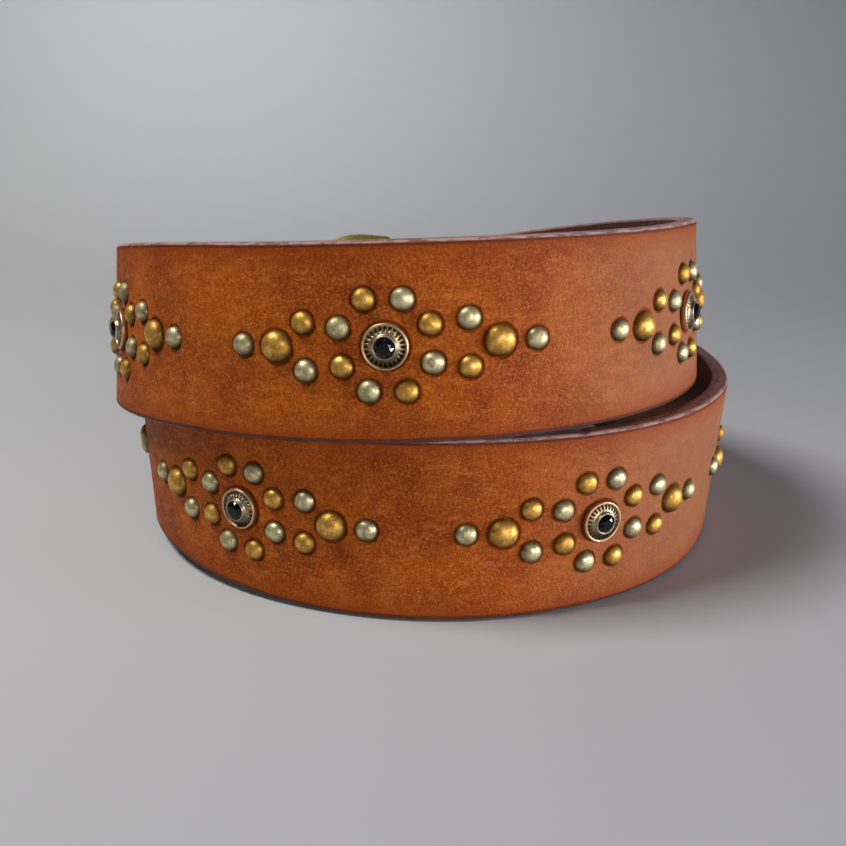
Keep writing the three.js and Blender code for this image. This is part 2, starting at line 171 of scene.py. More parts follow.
def catmull_rom(column: np.ndarray, place: np.ndarray) -> np.ndarray:
    """Values between evenly spaced ones.

    A cubic Hermite curve through column, with the slope at each value half the difference of its
    neighbours, and an end value repeated beyond the end.

    Args:
        column: The values, one for each whole number from 0.
        place: Where to read the curve, in the same whole numbers and between them.

    Returns:
        The curve at each place.
    """
    last = len(column) - 1
    i = np.clip(np.floor(place).astype(int), 0, last - 1)
    s = place - i
    before, start = column[np.maximum(i - 1, 0)], column[i]
    end, after = column[i + 1], column[np.minimum(i + 2, last)]
    return (
        (2 * s**3 - 3 * s**2 + 1) * start
        + (s**3 - 2 * s**2 + s) * (end - before) / 2
        + (3 * s**2 - 2 * s**3) * end
        + (s**3 - s**2) * (after - start) / 2
    )


def waves(u: np.ndarray, v: np.ndarray, length: float, seed: int) -> np.ndarray:
    """A smooth uneven surface between about -1 and 1.

    The mean of six plane waves sin(k . (u, v) + phase), with wavelengths near length and directions and
    phases from a seeded generator.

    Args:
        u: First coordinate of each point, in metres.
        v: Second coordinate of each point, in metres.
        length: Typical wavelength, in metres.
        seed: Number that the directions and phases are drawn from.

    Returns:
        The height at each point.
    """
    random = np.random.default_rng(seed)
    total = np.zeros(np.broadcast(u, v).shape)
    for _ in range(6):
        angle, phase = random.uniform(0, 2 * np.pi, 2)
        k = 2 * np.pi / (length * random.uniform(0.7, 1.5))
        total += np.sin(k * (u * np.cos(angle) + v * np.sin(angle)) + phase)
    return total / 3.0


def ring_faces(rings: int, sides: int) -> list[list[int]]:
    """The faces of a closed tube: quads from ring to ring, and a fan of triangles at each end.

    Args:
        rings: How many rings of points there are.
        sides: How many points each ring has.

    Returns:
        Faces over the rings' points in order, then the first end's middle point and the last end's.
    """
    i, j = np.meshgrid(np.arange(sides), np.arange(rings - 1))
    here, beside = j * sides + i, j * sides + (i + 1) % sides
    quads = np.stack([here, beside, beside + sides, here + sides], axis=-1).reshape(-1, 4)
    around = np.arange(sides)
    ahead = (around + 1) % sides
    first = np.stack([np.full(sides, rings * sides), ahead, around], axis=-1)
    top = (rings - 1) * sides
    last = np.stack([np.full(sides, rings * sides + 1), top + around, top + ahead], axis=-1)
    return quads.tolist() + first.tolist() + last.tolist()


def lathe(radius: np.ndarray, height: np.ndarray, sides: int) -> Shape:
    """A round closed shape about the third axis.

    The point on ring j at angle a is (radius_j cos a, radius_j sin a, height_j). The first and the last
    radius are 0 and become single points.

    Args:
        radius: Radii of the profile, from the middle of the back round to the middle of the front.
        height: Heights of the profile, either one for each radius or a row of them for each angle.
        sides: How many points go round.

    Returns:
        The closed shape, with the vertex rings in the order of the profile.
    """
    rings = len(radius) - 2
    angle = np.arange(sides) * 2 * np.pi / sides
    tall = np.broadcast_to(height, (sides, len(radius)))
    x = np.outer(np.cos(angle), radius[1:-1])
    y = np.outer(np.sin(angle), radius[1:-1])
    body = np.stack([x, y, tall[:, 1:-1]], axis=-1).transpose(1, 0, 2).reshape(-1, 3)
    poles = np.array([[0, 0, tall[:, 0].mean()], [0, 0, tall[:, -1].mean()]])
    return Shape(np.concatenate([body, poles]), ring_faces(rings, sides))


def repeated(shape: Shape, frames: Frames) -> Shape:
    """The shape set down on every frame, joined into one.

    A local point (x, y, z) goes to point + x along + y up + z out.

    Args:
        shape: The shape about its own origin, z outwards.
        frames: Where to put it.

    Returns:
        All the copies as one shape.
    """
    count, size = len(frames.point), len(shape.vertices)
    basis = np.stack([frames.along, frames.up, frames.out], axis=1)
    vertices = np.einsum("vi,kij->kvj", shape.vertices, basis) + frames.point[:, None, :]
    faces = [[n + k * size for n in face] for k in range(count) for face in shape.faces]
    values = {name: np.tile(data, count) for name, data in shape.values.items()}
    return Shape(vertices.reshape(-1, 3), faces, values)


def joined(shapes: list[Shape]) -> Shape:
    """Several shapes as one, their faces renumbered."""
    starts = np.cumsum([0] + [len(s.vertices) for s in shapes[:-1]])
    faces = [[n + int(start) for n in face] for s, start in zip(shapes, starts) for face in s.faces]
    return Shape(np.concatenate([s.vertices for s in shapes]), faces)


def rod(
    path: np.ndarray, side: np.ndarray, rise: np.ndarray, wide: np.ndarray, tall: np.ndarray, sides: int
) -> Shape:
    """A closed rod along a path, with an elliptic section.

    Ring i is path_i + wide_i cos a side_i + tall_i sin a rise_i, and each end closes in its path point.

    Args:
        path: Points of the middle line.
        side: Unit vector across the rod at each point.
        rise: Unit vector square to it at each point, with side x rise along the path.
        wide: Half-width along side at each point.
        tall: Half-height along rise at each point.
        sides: How many points go round.

    Returns:
        The closed rod.
    """
    angle = np.arange(sides) * 2 * np.pi / sides
    rings = (
        path[:, None, :]
        + (wide[:, None] * np.cos(angle))[:, :, None] * side[:, None, :]
        + (tall[:, None] * np.sin(angle))[:, :, None] * rise[:, None, :]
    )
    vertices = np.concatenate([rings.reshape(-1, 3), path[:1], path[-1:]])
    return Shape(vertices, ring_faces(len(path), sides))


def make_object(
    name: str, shape: Shape, material: bpy.types.Material, smooth: bool = True
) -> bpy.types.Object:
    """A Blender object at the origin that holds the shape.

    Args:
        name: The piece's name.
        shape: Its vertices, faces and values.
        material: Its finish.
        smooth: Whether its faces are shaded as one curved surface.

    Returns:
        The new object, in the scene.
    """
    mesh = bpy.data.meshes.new(name)
    mesh.from_pydata(shape.vertices.tolist(), [], shape.faces)
    for key, data in shape.values.items():
        attribute = mesh.attributes.new(key, "FLOAT", "POINT")
        attribute.data.foreach_set("value", np.ascontiguousarray(data, dtype=np.float32))
    mesh.polygons.foreach_set("use_smooth", np.full(len(mesh.polygons), smooth))
    mesh.materials.append(material)
    mesh.update()
    made = bpy.data.objects.new(name, mesh)
    bpy.context.scene.collection.objects.link(made)
    return made


def settle(piece: bpy.types.Object, nodes: list[str]) -> None:
    """Make a finished piece part of the frame.

    Args:
        piece: The finished object.
        nodes: The CAD nodes that it stands for.
    """
    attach(piece, "root")
    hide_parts(*nodes)
    log.info("%s: %d faces", piece.name, len(piece.data.polygons))


def nodes_named(prefix: str) -> list[str]:
    """The CAD nodes whose names start so, in order."""
    return sorted(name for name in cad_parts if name.startswith(prefix))


class Shader:
    """One material's nodes, and short ways to add to them. Patterns are read from Object coordinates."""

    def __init__(self, name: str) -> None:
        """Start a material with a Principled shader."""
        self.material = bpy.data.materials.new(name)
        self.material.use_nodes = True
        self.tree = self.material.node_tree
        self.surface = self.tree.nodes["Principled BSDF"]
        self.place = self.tree.nodes.new("ShaderNodeTexCoord").outputs["Object"]

    def put(self, socket: bpy.types.NodeSocket, value: object) -> None:
        """Link a socket to another node's output, or set its number or colour."""
        if isinstance(value, bpy.types.NodeSocket):
            self.tree.links.new(value, socket)
        elif isinstance(value, tuple) and len(socket.default_value) == 4:
            socket.default_value = (*value, 1.0)
        else:
            socket.default_value = value

    def set(self, name: str, value: object) -> None:
        """Give the Principled shader an input."""
        self.put(self.surface.inputs[name], value)

    def noise(
        self, scale: float, detail: float = 2.0, rough: float = 0.5, place: object = None
    ) -> bpy.types.NodeSocket:
        """Cloudy noise from 0 to 1, with scale features to a metre."""
        node = self.tree.nodes.new("ShaderNodeTexNoise")
        self.put(node.inputs["Vector"], place or self.place)
        node.inputs["Scale"].default_value = scale
        node.inputs["Detail"].default_value = detail
        node.inputs["Roughness"].default_value = rough
        return node.outputs["Fac"]

    def cells(self, scale: float) -> bpy.types.NodeSocket:
        """Distance to the nearest of scattered points, with scale of them to a metre."""
        node = self.tree.nodes.new("ShaderNodeTexVoronoi")
        self.put(node.inputs["Vector"], self.place)
        node.inputs["Scale"].default_value = scale
        return node.outputs["Distance"]

    def value(self, name: str) -> bpy.types.NodeSocket:
        """A number kept at the mesh's vertices."""
        node = self.tree.nodes.new("ShaderNodeAttribute")
        node.attribute_name = name
        return node.outputs["Fac"]

    def combine(self, x: object, y: object, z: object) -> bpy.types.NodeSocket:
        """A vector of three numbers."""
        node = self.tree.nodes.new("ShaderNodeCombineXYZ")
        for socket, part in zip(node.inputs, (x, y, z)):
            self.put(socket, part)
        return node.outputs["Vector"]

    def math(self, operation: str, a: object, b: object = 0.0) -> bpy.types.NodeSocket:
        """One sum on two numbers."""
        node = self.tree.nodes.new("ShaderNodeMath")
        node.operation = operation
        self.put(node.inputs[0], a)
        self.put(node.inputs[1], b)
        return node.outputs["Value"]

    def spread(
        self, value: object, low: float, high: float, start: float = 0.0, end: float = 1.0
    ) -> bpy.types.NodeSocket:
        """value, eased from start at low to end at high."""
        node = self.tree.nodes.new("ShaderNodeMapRange")
        node.interpolation_type = "SMOOTHSTEP"
        names = ("Value", "From Min", "From Max", "To Min", "To Max")
        for name, number in zip(names, (value, low, high, start, end)):
            self.put(node.inputs[name], number)
        return node.outputs["Result"]

    def mix(self, share: object, a: object, b: object) -> bpy.types.NodeSocket:
        """Two colours mixed, share of the second."""
        node = self.tree.nodes.new("ShaderNodeMix")
        node.data_type = "RGBA"
        self.put(node.inputs["Factor"], share)
        first, second = (socket for socket in node.inputs if socket.type == "RGBA")
        self.put(first, a)
        self.put(second, b)
        return next(socket for socket in node.outputs if socket.type == "RGBA")

    def bump(self, height: object, depth: float, strength: float) -> None:
        """Raise the shading by a height from 0 to 1 that is worth depth in metres."""
        node = self.tree.nodes.new("ShaderNodeBump")
        node.inputs["Distance"].default_value = depth
        node.inputs["Strength"].default_value = strength
        self.put(node.inputs["Height"], height)
        self.set("Normal", node.outputs["Normal"])


@dataclass(frozen=True)
class LeatherFinish:
    """Oiled tan leather, mottled and pebbled, with burnished edges dyed dark, and painted sheen, shade and
    highlights on it.
    """

    light: Colour = (0.46, 0.094, 0.003)
    dark: Colour = (0.280, 0.044, 0.002)
    # painted sheen for the coil's +X side
    painted_sheen: Colour = (0.300, 0.135, 0.068)
    fleck: Colour = (0.64, 0.22, 0.040)
    speck: Colour = (0.110, 0.020, 0.004)
    # edge dye, also used as painted shade round the studs and on the lower cut edge
    dye_and_shade: Colour = (0.030, 0.012, 0.012)
    burnished: Colour = (0.360, 0.190, 0.170)
    edge_line: Colour = (0.110, 0.048, 0.044)
    edge_tan: Colour = (0.400, 0.160, 0.095)
    # painted highlight along the upper outer corner
    painted_corner_highlight: Colour = (0.500, 0.370, 0.370)
    flesh: Colour = (0.060, 0.018, 0.006)
    mottle_scale: float = 60.0
    grain_scale: float = 1900.0
    crease_scale: float = 520.0
    pore_scale: float = 2300.0

    def material(self) -> bpy.types.Material:
        """The leather's nodes.

        Colour is a slow mix of light and dark, with light flecks and dark specks from a fine noise and
        short creases that run along the strap, and a painted sheen makes it paler and pinker on the coil's
        +X side. It is dyed by the distance from the cut edge, painted shade darkens it close to each stud,
        and it is swapped for the edge's and the flesh side's own colours, with painted shade on the lower
        cut edge and a painted highlight along the upper outer corner. Bump is the grain, the creases, the
        pores and a shallow dish with a lip round each stud.

        Returns:
            The material.
        """
        shader = Shader("tan_leather")
        run, across, depth = shader.value("run"), shader.value("across"), shader.value("depth")
        slow = shader.noise(self.mottle_scale, 5.0, 0.62)
        grain = shader.noise(self.grain_scale, 4.0, 0.7)
        along = shader.combine(shader.math("MULTIPLY", run, 0.38), across, depth)
        crease = shader.noise(self.crease_scale, 4.0, 0.65, along)
        pores = shader.cells(self.pore_scale)
        colour = shader.mix(shader.spread(slow, 0.32, 0.64), self.dark, self.light)
        colour = shader.mix(shader.spread(crease, 0.52, 0.66, 0.0, 0.30), colour, self.fleck)
        colour = shader.mix(shader.spread(crease, 0.48, 0.36, 0.0, 0.45), colour, self.dark)
        colour = shader.mix(shader.spread(grain, 0.52, 0.63, 0.0, 0.55), colour, self.fleck)
        colour = shader.mix(shader.spread(grain, 0.48, 0.37, 0.0, 0.55), colour, self.speck)
        # painted sheen: towards the coil's +X side the colour goes paler and pinker, standing for the haze of
        # the low lamp on the right
        split = shader.tree.nodes.new("ShaderNodeSeparateXYZ")
        shader.put(split.inputs[0], shader.place)
        sheen_side = shader.math("ADD", split.outputs["X"], shader.math("MULTIPLY", slow, 0.02))
        colour = shader.mix(shader.spread(sheen_side, 0.024, 0.074, 0.0, 0.72), colour, self.painted_sheen)
        rim = shader.value("rim")
        near = shader.math("SUBTRACT", rim, shader.math("MULTIPLY", crease, 0.0006))
        colour = shader.mix(shader.spread(near, 0.0060, 0.0, 0.0, 0.5), colour, self.dark)
        colour = shader.mix(shader.spread(near, 0.0016, 0.0, 0.0, 0.5), colour, self.dark)
        colour = shader.mix(shader.spread(near, 0.00035, 0.00005, 0.0, 0.6), colour, self.dye_and_shade)
        # painted shade: the leather darkens within a millimetre of each stud's rim, where the dish round the
        # stud falls into shade
        gap = shader.value("stud_gap")
        colour = shader.mix(shader.spread(gap, 0.0008, 0.0, 0.0, 0.45), colour, self.dark)
        colour = shader.mix(shader.spread(gap, 0.00015, 0.0, 0.0, 0.25), colour, self.dye_and_shade)
        side = shader.value("side")
        fibres = shader.noise(900.0, 3.0, 0.6, shader.combine(shader.math("MULTIPLY", run, 0.22), depth, 0.0))
        bare = shader.spread(shader.noise(22.0, 1.0), 0.50, 0.60)
        edge = shader.mix(bare, self.burnished, self.edge_tan)
        edge = shader.mix(shader.spread(fibres, 0.44, 0.60, 0.0, 0.6), edge, self.edge_line)
        # painted shade: the lower cut edge goes to the dye-and-shade colour, while the upper one stays
        # burnished
        edge = shader.mix(shader.spread(across, 0.001, -0.001, 0.0, 0.75), edge, self.dye_and_shade)
        colour = shader.mix(shader.spread(side, 0.2, 0.8), colour, edge)
        # painted highlight: a pale line along the upper outer corner of the edge, standing for light glinting
        # on the burnished corner
        past_rim, shallow = shader.spread(rim, -0.00006, -0.00020), shader.spread(depth, -0.0008, -0.0005)
        line = shader.math("MULTIPLY", past_rim, shallow)
        line = shader.math("MULTIPLY", line, shader.spread(across, 0.0, 0.001))
        line = shader.math("MULTIPLY", line, shader.spread(fibres, 0.60, 0.45, 0.05, 0.65))
        colour = shader.mix(line, colour, self.painted_corner_highlight)
        rough_side = shader.mix(shader.spread(grain, 0.3, 0.7), self.flesh, self.edge_line)
        colour = shader.mix(shader.spread(side, 1.3, 1.7), colour, rough_side)
        shader.set("Base Color", colour)
        smooth_edge = shader.math("MULTIPLY", shader.spread(side, 0.2, 1.0), shader.spread(side, 1.8, 1.1))
        rough = shader.spread(crease, 0.3, 0.7, 0.64, 0.50)
        shader.set("Roughness", shader.math("SUBTRACT", rough, shader.math("MULTIPLY", smooth_edge, 0.2)))
        shader.set("Specular IOR Level", 0.13)
        bowl, lip = shader.spread(gap, 0.0, 0.0006), shader.spread(gap, 0.0006, 0.0015, 0.0, 0.3)
        dish = shader.math("SUBTRACT", bowl, lip)
        fine = shader.math("ADD", grain, shader.math("MULTIPLY", pores, 0.5))
        fine = shader.math("ADD", fine, shader.math("MULTIPLY", crease, 0.9))
        shader.bump(shader.math("ADD", fine, shader.math("MULTIPLY", dish, 3.2)), 0.00020, 0.75)
        return shader.material


@dataclass(frozen=True)
class MetalFinish:
    """Antiqued plated metal: dull and mottled, dark where the patina stays, with painted shade on its under
    side.
    """

    name: str
    bright: Colour
    worn: Colour
    patina_and_shade: Colour
    rough: float = 0.46
    mottle_scale: float = 620.0

    def material(self) -> bpy.types.Material:
        """The metal's nodes.

        Colour mixes bright and worn by a noise the size of the studs' own stains, with finer streaks of
        patina, then goes darker towards the foot, and painted shade darkens the under side of each piece.
        Roughness follows the same noise.

        Returns:
            The material.
        """
        shader = Shader(self.name)
        stain = shader.noise(self.mottle_scale, 4.0, 0.65)
        streak = shader.noise(self.mottle_scale * 3.0, 3.0, 0.6)
        colour = shader.mix(shader.spread(stain, 0.40, 0.60), self.bright, self.worn)
        colour = shader.mix(shader.spread(streak, 0.52, 0.68, 0.0, 0.40), colour, self.patina_and_shade)
        # painted shade: the under side of each piece goes to the patina-and-shade colour
        colour = shader.mix(shader.math("MULTIPLY", shader.value("under"), 0.95), colour, self.patina_and_shade)
        colour = shader.mix(shader.math("MULTIPLY", shader.value("foot"), 0.7), colour, self.patina_and_shade)
        shader.set("Base Color", colour)
        shader.set("Metallic", 0.8)
        shader.set("Roughness", shader.spread(stain, 0.3, 0.7, self.rough - 0.07, self.rough + 0.12))
        shader.bump(shader.math("ADD", stain, shader.math("MULTIPLY", streak, 0.6)), 0.00009, 0.6)
        return shader.material


OLD_NICKEL = MetalFinish(
    "old_nickel", bright=(0.80, 0.71, 0.42), worn=(0.46, 0.39, 0.20), patina_and_shade=(0.060, 0.044, 0.018)
)
OLD_BRASS = MetalFinish(
    "old_brass", bright=(0.90, 0.52, 0.12), worn=(0.54, 0.28, 0.042), patina_and_shade=(0.065, 0.027, 0.004)
)
OLIVE_BRASS = MetalFinish(
    "olive_brass", bright=(0.60, 0.50, 0.12), worn=(0.42, 0.34, 0.07), patina_and_shade=(0.12, 0.09, 0.02), rough=0.45
)


@dataclass(frozen=True)
class RosetteFinish:
    """The settings' metal: a pale copper rim, a fluted cup of dark brass and silver, a silver bezel."""

    copper: Colour = (0.66, 0.43, 0.25)
    brass: Colour = (0.50, 0.36, 0.18)
    silver: Colour = (0.54, 0.47, 0.34)
    patina_and_shade: Colour = (0.022, 0.014, 0.006)

    def material(self) -> bpy.types.Material:
        """The setting's nodes.

        The stored zone runs from 0 at the rim through 1 in the cup to 2 at the bezel and picks the
        metal, and a slow noise lets silver show through some rims. The stored foot, which is 1 in the
        pits, brings in the patina, and painted shade darkens the cup towards the under side.

        Returns:
            The material.
        """
        shader = Shader("setting_metal")
        zone = shader.value("zone")
        stain = shader.noise(700.0, 4.0, 0.65)
        wear = shader.noise(36.0, 1.0)
        rim = shader.mix(shader.spread(wear, 0.58, 0.70), self.copper, self.silver)
        cup = shader.mix(shader.spread(stain, 0.4, 0.6), self.brass, self.silver)
        cup = shader.mix(shader.spread(stain, 0.48, 0.72, 0.0, 0.75), cup, self.patina_and_shade)
        # painted shade: the cup goes to the patina-and-shade colour towards the lower side of the strap
        cup = shader.mix(shader.math("MULTIPLY", shader.value("under"), 0.8), cup, self.patina_and_shade)
        colour = shader.mix(shader.spread(zone, 0.2, 0.8), rim, cup)
        colour = shader.mix(shader.spread(zone, 1.4, 1.8), colour, self.silver)
        colour = shader.mix(shader.value("foot"), colour, self.patina_and_shade)
        shader.set("Base Color", colour)
        shader.set("Metallic", 0.95)
        shader.set("Roughness", shader.spread(stain, 0.3, 0.7, 0.30, 0.48))
        shader.bump(stain, 0.00008, 0.6)
        return shader.material


@dataclass(frozen=True)
class GlassFinish:
    """Polished black glass."""

    colour: Colour = (0.002, 0.002, 0.002)
    smoke: Colour = (0.006, 0.005, 0.006)

    def material(self) -> bpy.types.Material:
        """The glass's nodes: near-black, with a faint smoky change of colour and a mirror polish."""
        shader = Shader("black_glass")
        shader.set("Base Color", shader.mix(shader.noise(900.0, 2.0), self.colour, self.smoke))
        shader.set("Roughness", 0.07)
        shader.set("IOR", 1.5)
        shader.set("Specular IOR Level", 0.34)
        return shader.material


@dataclass(frozen=True)
class FloorFinish:
    """Matt pale paper, with painted shade that makes it a little darker and cooler to the right."""

    colour: Colour = (0.62, 0.62, 0.62)
    # painted shade for the right-hand side
    painted_shade: Colour = (0.42, 0.43, 0.47)
    fade_half: float = 0.42

    def material(self) -> bpy.types.Material:
        """The paper's nodes: painted shade eases its grey from left to right, with slow clouds, and a very
        fine tooth.
        """
        shader = Shader("pale_paper")
        # painted shade: the grey goes darker and cooler to the right, standing for the light falling off away
        # from the key lamp
        split = shader.tree.nodes.new("ShaderNodeSeparateXYZ")
        shader.put(split.inputs[0], shader.place)
        cloud = shader.math("MULTIPLY", shader.noise(3.0, 2.0), 0.08)
        painted_falloff = shader.spread(shader.math("ADD", split.outputs["X"], cloud), -self.fade_half, self.fade_half)
        shader.set("Base Color", shader.mix(painted_falloff, self.colour, self.painted_shade))
        shader.set("Roughness", 0.85)
        shader.set("Specular IOR Level", 0.25)
        shader.bump(shader.noise(1500.0, 2.0), 0.00005, 0.3)
        return shader.material


@dataclass
class Route:
    """The strap's way from the tip of its tail to the fold round the buckle's bar."""

    width: float = 0.040
    thickness: float = 0.004
    coil_radius: float = 0.076
    turn_gap: float = 0.0006
    axis: tuple[float, float, float] = (0.000370, -0.010846, 0.000017)
    turns: np.ndarray = field(init=False)
    lengths: np.ndarray = field(init=False)

    def __post_init__(self) -> None:
        """Measure the way's length at every degree from the tip."""
        self.turns = np.arange(ROUTE_ROWS[0].turn, ROUTE_ROWS[-1].turn + 1.0)
        steps = np.linalg.norm(np.diff(self.points(self.turns), axis=0), axis=1)
        self.lengths = np.concatenate([[0.0], np.cumsum(steps)])

    @property
    def length(self) -> float:
        """The whole length to the fold."""
        return float(self.lengths[-1])

    def column(self, name: str, turn: np.ndarray) -> np.ndarray:
        """One column of the table at each turn."""
        step = ROUTE_ROWS[1].turn - ROUTE_ROWS[0].turn
        data = np.array([getattr(row, name) for row in ROUTE_ROWS])
        return catmull_rom(data, (turn - ROUTE_ROWS[0].turn) / step)

    def points(self, turn: np.ndarray) -> np.ndarray:
        """The middle of the outer face.

        (r sin turn, -r cos turn, height) off the coil's axis, where r is the radius share of the
        coil's radius, and the layers' thickness and gap are added to it.

        Args:
            turn: Degrees round the coil.

        Returns:
            One point for each turn.
        """
        radius = self.column("radius", turn) * self.coil_radius
        radius = radius + self.column("layers", turn) * (self.thickness + self.turn_gap)
        angle = np.radians(turn)
        height = self.column("height", turn) * self.width
        ring = np.stack([radius * np.sin(angle), -radius * np.cos(angle), height], axis=-1)
        return ring + np.array(self.axis)

    def length_at(self, turn: float) -> float:
        """Length from the tip to a turn."""
        return float(np.interp(turn, self.turns, self.lengths))

    def frames(self, length: np.ndarray) -> Frames:
        """Frames on the outer face at lengths from the tip.

        along is the difference of the points half a degree either side, up is square to it and as
        upright as it can be, turned about it by the lean, and out is along x up.

        Args:
            length: Lengths from the tip, in metres.

        Returns:
            The frames.
        """
        turn = np.interp(length, self.lengths, self.turns)
        first, last = self.turns[0], self.turns[-1]
        ahead = self.points(np.minimum(turn + 0.5, last))
        back = self.points(np.maximum(turn - 0.5, first))
        along = unit(ahead - back)
        level = unit(np.stack([along[:, 1], -along[:, 0], np.zeros(len(along))], axis=-1))
        upright = np.cross(level, along)
        lean = np.radians(self.column("lean", turn))[:, None]
        up = upright * np.cos(lean) + np.cross(along, upright) * np.sin(lean)
        return Frames(self.points(turn), along, up, np.cross(along, up))


@dataclass
class Pattern:
    """Where every stud and setting sits along the strap."""

    route: Route
    count: int = 11
    small_radius: float = 0.00235
    large_radius: float = 0.00335
    setting_radius: float = 0.00465
    drop: float = 0.0003
    last_hole: float = 0.135
    hole_to_studs: float = 0.0119
    studs_to_fold: float = 0.0021
    fold_length: float = 0.046

    @property
    def pitch(self) -> float:
        """The step from motif to motif, which fills the length between the last hole and the fold."""
        start = self.last_hole + self.hole_to_studs
        end = self.route.length - self.fold_length - self.studs_to_fold
        return (end - start - 2 * self.small_radius) / (self.count - 1 + 2 * SMALL_ROWS[0].u)

    def middles(self) -> np.ndarray:
        """Lengths of the motifs' middles, at even steps."""
        reach = SMALL_ROWS[0].u * self.pitch + self.small_radius
        return self.last_hole + self.hole_to_studs + reach + self.pitch * np.arange(self.count)

    def pair(self, row: StudRow) -> np.ndarray:
        """Both places of a row, as given and turned half way round the setting, in metres."""
        place = np.array([row.u * self.pitch, row.v * self.route.width])
        return np.stack([place, -place])

    def small(self, metal: Metal) -> np.ndarray:
        """(length, across) of every small stud of one metal."""
        rows = np.concatenate([self.pair(row) for row in SMALL_ROWS if row.metal is metal])
        return self._spread(rows)

    def large(self) -> np.ndarray:
        """(length, across) of every large stud."""
        return self._spread(self.pair(LARGE_ROW))

    def settings(self) -> np.ndarray:
        """(length, across) of every setting."""
        return self._spread(np.zeros((1, 2)))

    def _spread(self, rows: np.ndarray) -> np.ndarray:
        """The rows of one motif, repeated at every motif's middle, a little below mid-width."""
        middles = self.middles()
        moved = np.stack([middles, np.full(len(middles), -self.drop)], axis=-1)
        return (moved[:, None, :] + rows[None, :, :]).reshape(-1, 2)

    def pressed(self) -> np.ndarray:
        """(length, across, radius) of everything that presses into the leather."""
        groups = (
            (self.small(Metal.NICKEL), self.small_radius),
            (self.small(Metal.BRASS), self.small_radius),
            (self.large(), self.large_radius),
            (self.settings(), self.setting_radius),
        )
        return np.concatenate([np.column_stack([at, np.full(len(at), radius)]) for at, radius in groups])

    def frames(self, places: np.ndarray, outward: float = 0.0) -> Frames:
        """Frames at (length, across) places, lifted by outward."""
        return self.route.frames(places[:, 0]).moved(places[:, 1], np.full(len(places), outward))


